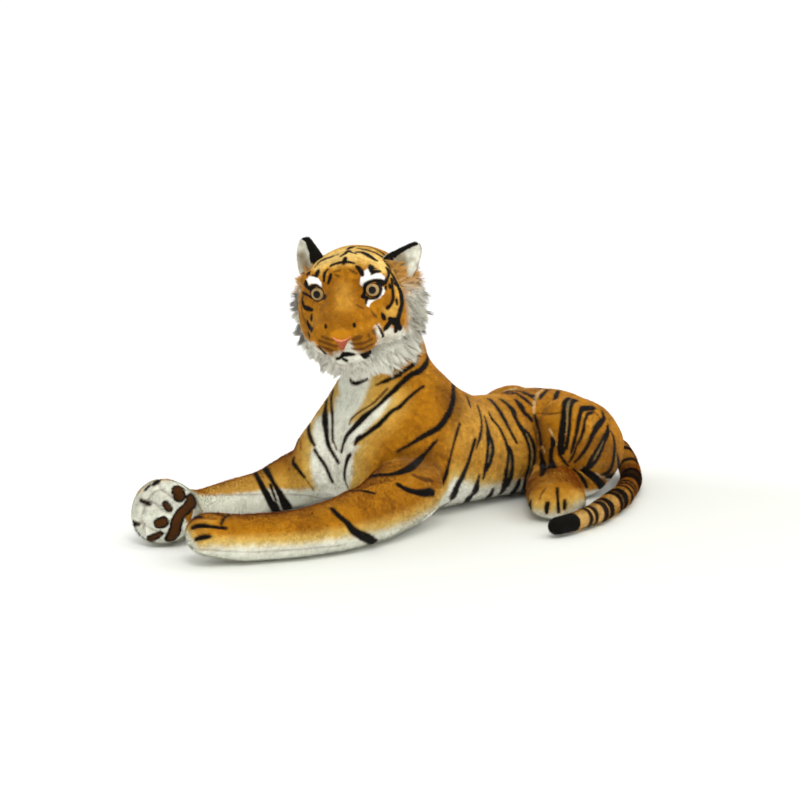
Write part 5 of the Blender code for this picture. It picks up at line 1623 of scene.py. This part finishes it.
def body_flow(points, normals):
    x, y, z = points.T
    legs = ramp(x, *LEGS_FLOW_X)[:, None] * ramp(z, *LEGS_FLOW_Z)[:, None]
    chest = ramp(-normals[:, 0], *CHEST_FLOW_FACING)[:, None] * (1 - legs)
    way = np.array(BACK_WAY) * (1 - legs) + np.array(LEGS_WAY) * legs
    way = way * (1 - chest) + np.array(CHEST_WAY) * chest
    foot = (ramp(x, *FOOT_FLOW_X) * ramp(np.abs(y), *FOOT_FLOW_Y) * ramp(z, *FOOT_FLOW_Z))[:, None]
    return way * (1 - foot) + np.array(FOOT_WAY) * foot


def tail_flow(points, normals):
    return tail_shares(points)[1]


# In the head's own frame: the place from which the nap runs outward, the eyes and the nose
HEAD_TURNED = np.array(HEAD.to_3x3())
NAP_ORIGIN = np.array((0.0, -0.150, -0.030))
EYE_X, EYE_Y, EYE_Z = 0.049, -0.0690, 0.040
EYE_SHIFT = 0.0040
EYE_RADIUS = 0.0150
EYE_CLEARING = 0.0155
NOSE_Z, NOSE_HALF_WIDTH, NOSE_HALF_HEIGHT = -0.030, 0.019, 0.013
FACE_Y = -0.05


def head_flow(points, normals):
    """Away from the nose over the brow and the cheeks."""
    return unit(head_local(points) - NAP_ORIGIN) @ HEAD_TURNED.T


def eye_gap(points):
    """Keeps the pile off the eyes and the nose."""
    x, y, z = head_local(points).T
    eyes = np.hypot(np.abs(x - EYE_SHIFT) - EYE_X, z - EYE_Z)
    nose = np.hypot(x / NOSE_HALF_WIDTH, (z - NOSE_Z) / NOSE_HALF_HEIGHT)
    return ~((y < FACE_Y) & ((eyes < EYE_CLEARING) | (nose < 1)))


# The area of cloth for each root, and the nap's length, width and lean
BODY_PATCH, BODY_NAP = 2.3e-6, (0.0044, 0.0011, 0.78)
TAIL_PATCH, TAIL_NAP = 1.8e-6, (0.0044, 0.0010, 0.80)
HEAD_PATCH, HEAD_NAP = 1.1e-6, (0.0030, 0.0008, 0.80)
EAR_PATCH, EAR_NAP = 1.0e-6, (0.0026, 0.0008, 0.80)
TORSO_CUTS = ((-1, 0.12), (0.12, 0.28), (0.28, 1))
BODY_SEED, TORSO_SEED, TAIL_SEED, HEAD_SEED, EAR_SEED, RUFF_SEED = 50, 60, 70, 71, 72, 90

for number, region in enumerate(REGION_NAMES):
    part = BODY_PART == number
    if region != "torso":
        pile(region + "_pile", BODY, part, region, body_coat, body_flow, BODY_PATCH, BODY_NAP, BODY_SEED + number)
        continue
    for k, (low, high) in enumerate(TORSO_CUTS):
        within = part & (BODY_CENTRES[:, 0] >= low) & (BODY_CENTRES[:, 0] < high)
        name = "torso_pile_%d" % (k + 1)
        pile(name, BODY, within, region, body_coat, body_flow, BODY_PATCH, BODY_NAP, TORSO_SEED + k)
pile("tail_pile", TAIL, every(TAIL), "tail", tail_coat, tail_flow, TAIL_PATCH, TAIL_NAP, TAIL_SEED)
pile("head_pile", HEAD_SKIN, every(HEAD_SKIN), "head", head_coat, head_flow, HEAD_PATCH, HEAD_NAP, HEAD_SEED,
     gap=eye_gap)
for k, (side, skin) in enumerate(EARS.items()):
    pile("ear_%s_pile" % side, skin, every(skin), "head", ear_coat, head_flow, EAR_PATCH, EAR_NAP, EAR_SEED + k)


# Long strands: how they leave the cloth, sink, scatter, taper, and darken towards their roots as painted shade
LOCK_STEPS = 3
LOCK_WIDTH = 0.0010
LOCK_DROOP = 0.22
LOCK_ROOT_DEPTH = 0.0006
LOCK_FLAT, LOCK_UP, LOCK_TURN = 0.75, 0.35, 0.5
LOCK_SCATTER, LOCK_LIE_SCATTER = 0.10, 0.30
LOCK_TAPER = 0.75
LOCK_ROOT_SHADE = 0.70
LOCK_CELL_X, LOCK_CELL_Y = (0.15, 0.7), (0.1, 0.8)


def locks(name, roots, normals, ways, lengths, colours, tips, region, random):
    """Long strands that leave the cloth along their way and sink towards the ground."""
    count = len(roots)
    ways = unit(ways)
    share = np.linspace(0, 1, LOCK_STEPS + 1)
    spine = [roots - normals * LOCK_ROOT_DEPTH]
    way = ways * LOCK_FLAT + normals * LOCK_UP
    for _ in range(LOCK_STEPS):
        way = way + (ways - way) * LOCK_TURN
        way[:, 2] -= LOCK_DROOP / LOCK_STEPS
        way = unit(way + LOCK_SCATTER * random.normal(size=(count, 3)))
        spine.append(spine[-1] + way * (lengths / LOCK_STEPS)[:, None])
    rows = []
    for k in range(LOCK_STEPS):
        half = unit(np.cross(spine[k + 1] - spine[k], normals), 1e-7) * LOCK_WIDTH / 2 * (1 - LOCK_TAPER * share[k])
        rows += [spine[k] - half, spine[k] + half]
    rows.append(spine[-1])
    points = np.stack(rows, axis=1)
    tall = points.shape[1]
    pattern = []
    for a in range(0, 2 * LOCK_STEPS - 2, 2):
        pattern += [(a, a + 1, a + 3), (a, a + 3, a + 2)]
    pattern.append((tall - 3, tall - 2, tall - 1))
    faces = (np.arange(count)[:, None, None] * tall + np.array(pattern)).reshape(-1, 3)
    levels = np.array([share[k // 2] for k in range(tall - 1)] + [1.0])
    blend = levels[None, :, None]
    root = colours[:, None, :] * (LOCK_ROOT_SHADE + (1 - LOCK_ROOT_SHADE) * blend)
    shade = root * (1 - blend) + tips[:, None, :] * blend
    lie = unit(normals + LOCK_LIE_SCATTER * random.normal(size=(count, 3)))
    lies = np.repeat(lie, tall, axis=0)
    piece = make_piece(name, points.reshape(-1, 3), faces, lies, shade.reshape(-1, 3), LONG_PILE)
    across_cell = [LOCK_CELL_X[0] + LOCK_CELL_X[1] * (k % 2) for k in range(tall - 1)] + [0.5]
    cells = np.column_stack([across_cell, LOCK_CELL_Y[0] + LOCK_CELL_Y[1] * levels])
    grid_layout(piece.data, np.broadcast_to(cells, (count, tall, 2)), faces.ravel())
    attach(piece, region)


TUFT_SIZE, TUFT_PULL, TUFT_TURN = 0.009, 0.25, 0.28
TUFT_SWAY, TUFT_SEEDS = 0.35, (81, 82, 83)
TUFT_LENGTHS = (0.7, 1.15)


def tufted(points, ways, random):
    """The ways of strands that lean together into tufts, and a factor of length for each tuft."""
    sway = np.column_stack([noise(points, TUFT_SIZE, s) for s in TUFT_SEEDS])
    cells = np.floor(points / TUFT_SIZE + TUFT_SWAY * sway).astype(int)
    _, group = np.unique(cells, axis=0, return_inverse=True)
    group = group.ravel()
    number = np.bincount(group)
    centre = np.column_stack([np.bincount(group, points[:, i]) / number for i in range(3)])
    turn = random.normal(size=(len(number), 3)) * TUFT_TURN
    ways = ways + turn[group] + TUFT_PULL * (centre[group] - points) / TUFT_SIZE
    return ways, random.uniform(*TUFT_LENGTHS, len(number))[group]


# The ruff in the head's own frame: where it grows behind the face and under the chin, which way, how long and in which
# colours. Turned is its far side, which shows darker and lies flatter in the view, and near its near side.
RUFF_PATCH = 2.6e-6
RUFF_SLOPE, RUFF_START_Y, RUFF_END_Y, RUFF_TOP_Z = 0.35, (0.000, 0.022), (0.072, 0.050), (0.088, 0.062)
CHIN_SLOPE, CHIN_Y, CHIN_Z, CHIN_END_Y = 0.40, 0.08, (-0.068, -0.084), (0.060, 0.040)
TURNED_X, NEAR_X, SIDE_X = (-0.02, -0.08), (0.02, 0.07), (0.0, 0.05)
DOWN_BASE, DOWN_LOW, DOWN_LOW_Z, DOWN_HIGH, DOWN_HIGH_Z = -0.40, -0.45, (0.03, -0.07), 0.85, (0.012, 0.055)
OUT_SIDE, OUT_TURNED, BACK_BASE, BACK_TURNED = 0.8, -0.3, 0.30, 0.5
FLAT_SHARE, LIFT_BASE, LIFT_TURNED, LIFT_NEAR = 0.80, 0.36, -0.18, -0.14
RUFF_LENGTH, RUFF_SIDE_MORE, RUFF_SIDE_X, RUFF_LOW_MORE, RUFF_LOW_Z = 0.021, 0.010, (0.03, 0.09), 0.006, (-0.06, -0.09)
SHORTER_TURNED, SHORTER_NEAR, SHORTER_CHIN, SHORT_CHIN_Z = 0.30, 0.14, 0.30, (-0.045, -0.080)
LOCK_LENGTHS = (0.8, 1.15)
TOP_FUZZ, TOP_Z, TOP_STRENGTH, TOP_TIP = ((0.006, 0.012, 93),), (0.020, 0.050), 0.92, 0.5
DARK_NOISE, DARK_SPOTS, DARK_X, DARK_STRENGTH = ((1, 0.014, 91),), (0.15, 0.7), (-0.02, -0.06), 0.65
RUFF_GREY, RUFF_GREY_NOISE, GREY_TURNED, GREY_NEAR = 0.30, ((0.30, 0.010, 92),), 0.2, 0.25
NEAR_DARK_BASE, NEAR_DARK_NOISE, NEAR_DARK_Z, NEAR_DARK_STRENGTH = 0.55, ((0.45, 0.009, 94),), (-0.075, -0.035), 0.92
TUFT_EDGE, TUFT_STRENGTH = (-0.004, 0.002), 0.85
TIP_WHITE, TIP_WHITE_NEAR, TIP_DARK = 0.50, -0.28, 0.8

# Dark tufts of the far side, in pixels of the view
DARK_TUFTS = [[(285, 294), (309, 294), (309, 309), (285, 312)], [(285, 322), (311, 320), (313, 338), (285, 344)]]


def ruff_roots():
    """Places, the cloth's normals and the stream of random numbers of the ruff."""
    points, normals, random = sow(HEAD_SKIN, every(HEAD_SKIN), RUFF_PATCH, RUFF_SEED)
    x, y, z = head_local(points).T
    behind = ramp(y + RUFF_SLOPE * np.abs(x), *RUFF_START_Y) * ramp(y, *RUFF_END_Y) * ramp(z, *RUFF_TOP_Z)
    under = ramp(z - CHIN_SLOPE * (y + CHIN_Y), *CHIN_Z) * ramp(y, *CHIN_END_Y)
    keep = random.random(len(points)) < np.maximum(behind, under)
    return points[keep], normals[keep], random


def ruff():
    """The long pale collar behind the face, under the chin and down the throat."""
    points, normals, random = ruff_roots()
    x, _, z = head_local(points).T
    turned, near = ramp(x, *TURNED_X), ramp(x, *NEAR_X)
    down = DOWN_BASE + DOWN_LOW * ramp(z, *DOWN_LOW_Z) + DOWN_HIGH * ramp(z, *DOWN_HIGH_Z)
    side = np.sign(x) * ramp(np.abs(x), *SIDE_X) * (OUT_SIDE + OUT_TURNED * turned)
    out = np.column_stack([side, BACK_BASE + BACK_TURNED * turned, down])
    lift = LIFT_BASE + LIFT_TURNED * turned + LIFT_NEAR * near
    ways = along(out @ HEAD_TURNED.T, normals) * FLAT_SHARE + normals * lift[:, None]
    ways, size = tufted(points, ways, random)
    lengths = RUFF_LENGTH + RUFF_SIDE_MORE * ramp(np.abs(x), *RUFF_SIDE_X) + RUFF_LOW_MORE * ramp(z, *RUFF_LOW_Z)
    chin = ramp(z, *SHORT_CHIN_Z) * (1 - near)
    shorter = (1 - SHORTER_TURNED * turned) * (1 - SHORTER_NEAR * near) * (1 - SHORTER_CHIN * chin)
    lengths = lengths * shorter * size * random.uniform(*LOCK_LENGTHS, len(x))

    top = ramp(z + layered(points, TOP_FUZZ), *TOP_Z)
    grey = RUFF_GREY + layered(points, RUFF_GREY_NOISE) + GREY_TURNED * turned + GREY_NEAR * near
    colours = mix(np.tile(np.array(WHITE), (len(x), 1)), GREY, grey)
    # The near side is darker brown-grey, fading out towards its foot
    near_dark = near * (NEAR_DARK_BASE + layered(points, NEAR_DARK_NOISE)) * ramp(z, *NEAR_DARK_Z)
    colours = mix(colours, RUFF_NEAR_DARK, near_dark * NEAR_DARK_STRENGTH)
    colours = mix(colours, RUFF_ORANGE, top * TOP_STRENGTH)
    dark = ramp(layered(points, DARK_NOISE), *DARK_SPOTS) * ramp(x, *DARK_X) * (1 - top)
    tuft = np.maximum.reduce([ramp(zone(points, outline), *TUFT_EDGE) for outline in DARK_TUFTS])
    dark = np.maximum(dark * DARK_STRENGTH, TUFT_STRENGTH * tuft * turned)
    colours = mix(colours, RUFF_DARK, dark)
    tips = mix(colours, BRIGHT_WHITE, (TIP_WHITE + TIP_WHITE_NEAR * near) * (1 - top) * (1 - TIP_DARK * dark))
    tips = mix(tips, RUFF_TIP, TOP_TIP * top)
    locks("ruff", points, normals, ways, lengths, colours, tips, "head", random)


ruff()


# Eyes and nose

# Glossy moulded plastic: the iris painted below a clear dome, with its own fine fibres
EYE_LOOKS = {"Roughness": 0.30, "Specular IOR Level": 0.04, "Coat Weight": 0.14, "Coat Roughness": 0.06}
EYE_GRAIN = (900, 2, 0.75, 1.25)
EYE_DOME = tinted_material("eye_dome", *EYE_GRAIN, EYE_LOOKS)[0]
IRIS = (0.27, 0.175, 0.068)
IRIS_EDGE = (0.09, 0.043, 0.012)

# Rings of the eye from its middle outward: share of the radius, then 0 pupil, 1 iris, 2 its edge or 3 the rim
EYE_RINGS = [(0.0, 0), (0.12, 0), (0.24, 0), (0.33, 0), (0.42, 0), (0.45, 1), (0.50, 1), (0.56, 1), (0.64, 1),
             (0.71, 1), (0.77, 2), (0.82, 3), (0.88, 3), (0.94, 3), (1.0, 3)]
EYE_SHADES = (BLACK, IRIS, IRIS_EDGE, BLACK)
EYE_SPOKES = 64
EYE_RISE = 0.0135
EYE_DEPTH = 0.004
EYE_OUT, EYE_UP = 0.10, 0.02
# Brightness of the iris: at its inner edge, how much more outward, from which share over what width, and its fibres
IRIS_TONE = (0.85, 0.30, 0.42, 0.30)
IRIS_FIBRES = (0.14, 23, 9)


def eye(side):
    sign = SIDES[side]
    middle = Vector((sign * EYE_X + EYE_SHIFT, EYE_Y, EYE_Z))
    turn = Vector((sign * EYE_OUT, -1, EYE_UP)).normalized().to_track_quat("Z", "Y").to_matrix()
    points, colours = [], []
    tone, more, first, width = IRIS_TONE
    height, fast, slow = IRIS_FIBRES
    for share, kind in EYE_RINGS:
        rise = EYE_RISE * math.sqrt(max(0.0, 1 - share ** 2))
        for k in range(EYE_SPOKES):
            angle = 2 * math.pi * k / EYE_SPOKES
            spot = Vector((math.cos(angle) * EYE_RADIUS * share, math.sin(angle) * EYE_RADIUS * share, rise))
            points.append(list(HEAD @ (middle + turn @ spot)))
            fibres = height * math.sin(angle * fast) * math.sin(angle * slow + 1)
            bright = tone + more * (share - first) / width + fibres if kind == 1 else 1
            colours.append(np.array(EYE_SHADES[kind]) * bright)
    index = np.arange(len(points)).reshape(-1, EYE_SPOKES)
    following = np.roll(index, -1, axis=1)
    faces = np.stack([index[1:], following[1:], following[:-1], index[:-1]], axis=-1).reshape(-1, 4)
    points = np.array(points)
    normals = unit(points - np.array(HEAD @ (middle - turn @ Vector((0, 0, EYE_DEPTH)))))
    piece = make_piece("eye_%s_dome" % side, points, faces, normals, np.array(colours), EYE_DOME)
    attach(piece, "head")
    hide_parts("eye_%s" % side)


# The nose's outline: rows of pixels from its upper edge to its foot, each with places from its left to its right end
NOSE_ROWS = [((330.6, 335.2), (336, 338.6), (341.6, 339.6), (346.8, 338.2), (352.0, 334.9)),
             ((331.2, 336.8), (336.2, 340.2), (341.8, 341.2), (346.8, 339.8), (351.4, 336.6)),
             ((334.6, 339.8), (337.6, 342.2), (341.9, 343.0), (346.0, 341.9), (348.8, 339.6)),
             ((337.0, 342.8), (339.0, 344.6), (342.1, 345.2), (345.2, 344.2), (347.0, 342.4)),
             ((338.4, 346.0), (340.0, 347.2), (342.2, 347.6), (344.6, 346.9), (346.0, 345.6)),
             ((340.4, 349.0), (341.2, 349.6), (342.3, 349.8), (343.6, 349.5), (344.4, 348.8))]
NOSE_PINK = (0.60, 0.235, 0.120)
NOSE_RED = (0.34, 0.085, 0.040)
NOSE_TALL, NOSE_WIDE = 26, 34
# Padding: how deep its edge is tucked in, how high it stands and over how many rows, which count for more lengthwise
NOSE_TUCK, NOSE_PLUMP, NOSE_PLUMP_ROWS, NOSE_ROW_WEIGHT = -0.0015, 0.0052, (-0.5, 5.0), 1.4
NOSE_PINK_ROWS = (2.6, 5.4)


def nose():
    """A padded T of short felt, sewn on the muzzle."""
    rows = np.array(NOSE_ROWS)
    points, colours, normals = [], [], []
    for j in range(NOSE_TALL):
        t = j / (NOSE_TALL - 1) * (len(rows) - 1)
        k = min(int(t), len(rows) - 2)
        row = rows[k] * (1 - (t - k)) + rows[k + 1] * (t - k)
        for i in range(NOSE_WIDE):
            s = i / (NOSE_WIDE - 1) * (len(row) - 1)
            m = min(int(s), len(row) - 2)
            spot, normal = HEAD_SKIN.hit(*(row[m] * (1 - (s - m)) + row[m + 1] * (s - m)))
            edge = min(i, NOSE_WIDE - 1 - i, j * NOSE_ROW_WEIGHT, (NOSE_TALL - 1 - j) * NOSE_ROW_WEIGHT)
            height = NOSE_TUCK + NOSE_PLUMP * float(ramp(edge, *NOSE_PLUMP_ROWS))
            points.append(list(spot + normal * height))
            normals.append(normal)
            red = float(ramp(j, *NOSE_PINK_ROWS))
            colours.append(np.array(NOSE_RED) * red + np.array(NOSE_PINK) * (1 - red))
    index = np.arange(NOSE_TALL * NOSE_WIDE).reshape(NOSE_TALL, NOSE_WIDE)
    faces = np.stack([index[:-1, :-1], index[1:, :-1], index[1:, 1:], index[:-1, 1:]], axis=-1).reshape(-1, 4)
    shape = Skin(np.array(points), faces)
    if shape.normals[len(points) // 2] @ np.array(normals[len(points) // 2]) < 0:
        shape = Skin(shape.points, faces[:, ::-1])
    piece = make_piece("nose_felt", shape.points, shape.quads, shape.normals, np.array(colours), SKIN_CLOTH)
    attach(piece, "head")
    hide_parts("nose")


for side in SIDES:
    eye(side)
nose()


WASHER_GRAIN = 700
WASHER_TONES = {"A": (0.030, 0.029, 0.027, 1), "B": (0.075, 0.072, 0.068, 1)}


def washer_material():
    """Dark moulded plastic with a fine grain."""
    material, nodes, links, shader = new_material("washer_plastic", {"Roughness": 0.45})
    blend = colour_mix(nodes, links, shader, "MIX")
    for socket, tone in WASHER_TONES.items():
        blend.inputs[socket].default_value = tone
    links.new(grain_of(nodes, links, WASHER_GRAIN), blend.inputs["Factor"])
    return material


WASHER_PLASTIC = washer_material()
for side in SIDES:
    washer = frame["nodes"]["eye_washer_" + side]
    for piece in [washer] + list(washer.children_recursive):
        if piece.type == "MESH":
            piece.data.materials.clear()
            piece.data.materials.append(WASHER_PLASTIC)


# Room, lights and camera

ROOM_LIGHT = 1.10
ROOM_SEEN = 1.05
FLOOR_HALF = 30.0
# The colour that only the camera sees on the floor near the toy, fading out over the reach: a painted shadow
FLOOR_PAINTED_SHADOW = (0.63, 0.64, 0.595)
FLOOR_BOUNCE = (0.97, 0.97, 0.965)
FLOOR_MIDDLE = (-0.05, -0.45, 0)
FLOOR_REACH = (0.55, 1.25)
# Softboxes: place, size and power
SOFTBOXES = (((-1.5, -1.7, 2.9), 1.4, 50), ((1.2, -1.6, 2.4), 1.6, 16), ((-0.9, -2.8, 1.0), 1.8, 16))
LIT_MIDDLE = Vector((-0.05, -0.05, 0.15))
CLIP = (0.1, 30)


def floor_material():
    """A pale floor that the camera sees a little darker near the toy: a painted shadow around it, which adds to the
    soft shadow that the toy casts.
    """
    material, nodes, links, shader = new_material("pale_floor", {"Roughness": 0.9})
    blend = colour_mix(nodes, links, shader, "MIX")
    blend.inputs["A"].default_value = (*FLOOR_BOUNCE, 1)
    blend.inputs["B"].default_value = (*FLOOR_PAINTED_SHADOW, 1)
    place = nodes.new("ShaderNodeTexCoord")
    away = nodes.new("ShaderNodeVectorMath")
    away.operation = "DISTANCE"
    away.inputs[1].default_value = FLOOR_MIDDLE
    links.new(place.outputs["Object"], away.inputs[0])
    near = nodes.new("ShaderNodeMapRange")
    near.interpolation_type = "SMOOTHSTEP"
    near.inputs["From Min"].default_value = FLOOR_REACH[1]
    near.inputs["From Max"].default_value = FLOOR_REACH[0]
    links.new(away.outputs["Value"], near.inputs["Value"])
    share = nodes.new("ShaderNodeMath")
    share.operation = "MULTIPLY"
    links.new(near.outputs["Result"], share.inputs[0])
    links.new(nodes.new("ShaderNodeLightPath").outputs["Is Camera Ray"], share.inputs[1])
    links.new(share.outputs["Value"], blend.inputs["Factor"])
    return material


def place_object(name, data):
    holder = bpy.data.objects.new(name, data)
    bpy.context.scene.collection.objects.link(holder)
    return holder


def studio():
    mesh = bpy.data.meshes.new("floor")
    corners = [(x * FLOOR_HALF, y * FLOOR_HALF, 0) for x, y in ((-1, -1), (1, -1), (1, 1), (-1, 1))]
    mesh.from_pydata(corners, [], [(0, 1, 2, 3)])
    mesh.materials.append(floor_material())
    place_object("floor", mesh)
    world = bpy.data.worlds.new("studio")
    world.use_nodes = True
    nodes, links = world.node_tree.nodes, world.node_tree.links
    nodes["Background"].inputs["Color"].default_value = (1, 1, 1, 1)
    seen = nodes.new("ShaderNodeLightPath").outputs["Is Camera Ray"]
    links.new(ranged(nodes, links, seen, ROOM_LIGHT, ROOM_SEEN), nodes["Background"].inputs["Strength"])
    bpy.context.scene.world = world
    for place, size, power in SOFTBOXES:
        lamp = bpy.data.lights.new("softbox", "AREA")
        lamp.size = size
        lamp.energy = power
        holder = place_object("softbox", lamp)
        holder.location = place
        holder.rotation_euler = (LIT_MIDDLE - Vector(place)).to_track_quat("-Z", "Y").to_euler()


def photo_camera():
    camera = bpy.data.cameras.new("camera")
    camera.sensor_width = SENSOR
    camera.sensor_fit = "HORIZONTAL"
    camera.lens = SENSOR * VIEW_DISTANCE / (METRES_PER_PIXEL * 2 * IMAGE_CENTRE_PX)
    camera.clip_start, camera.clip_end = CLIP
    camera.dof.use_dof = False
    holder = place_object("camera", camera)
    holder.matrix_world = Matrix.Translation(EYE_POINT) @ Matrix((RIGHT, UP, BACK)).transposed().to_4x4()
    bpy.context.scene.camera = holder


studio()
photo_camera()
bpy.context.scene.view_settings.view_transform = "Standard"
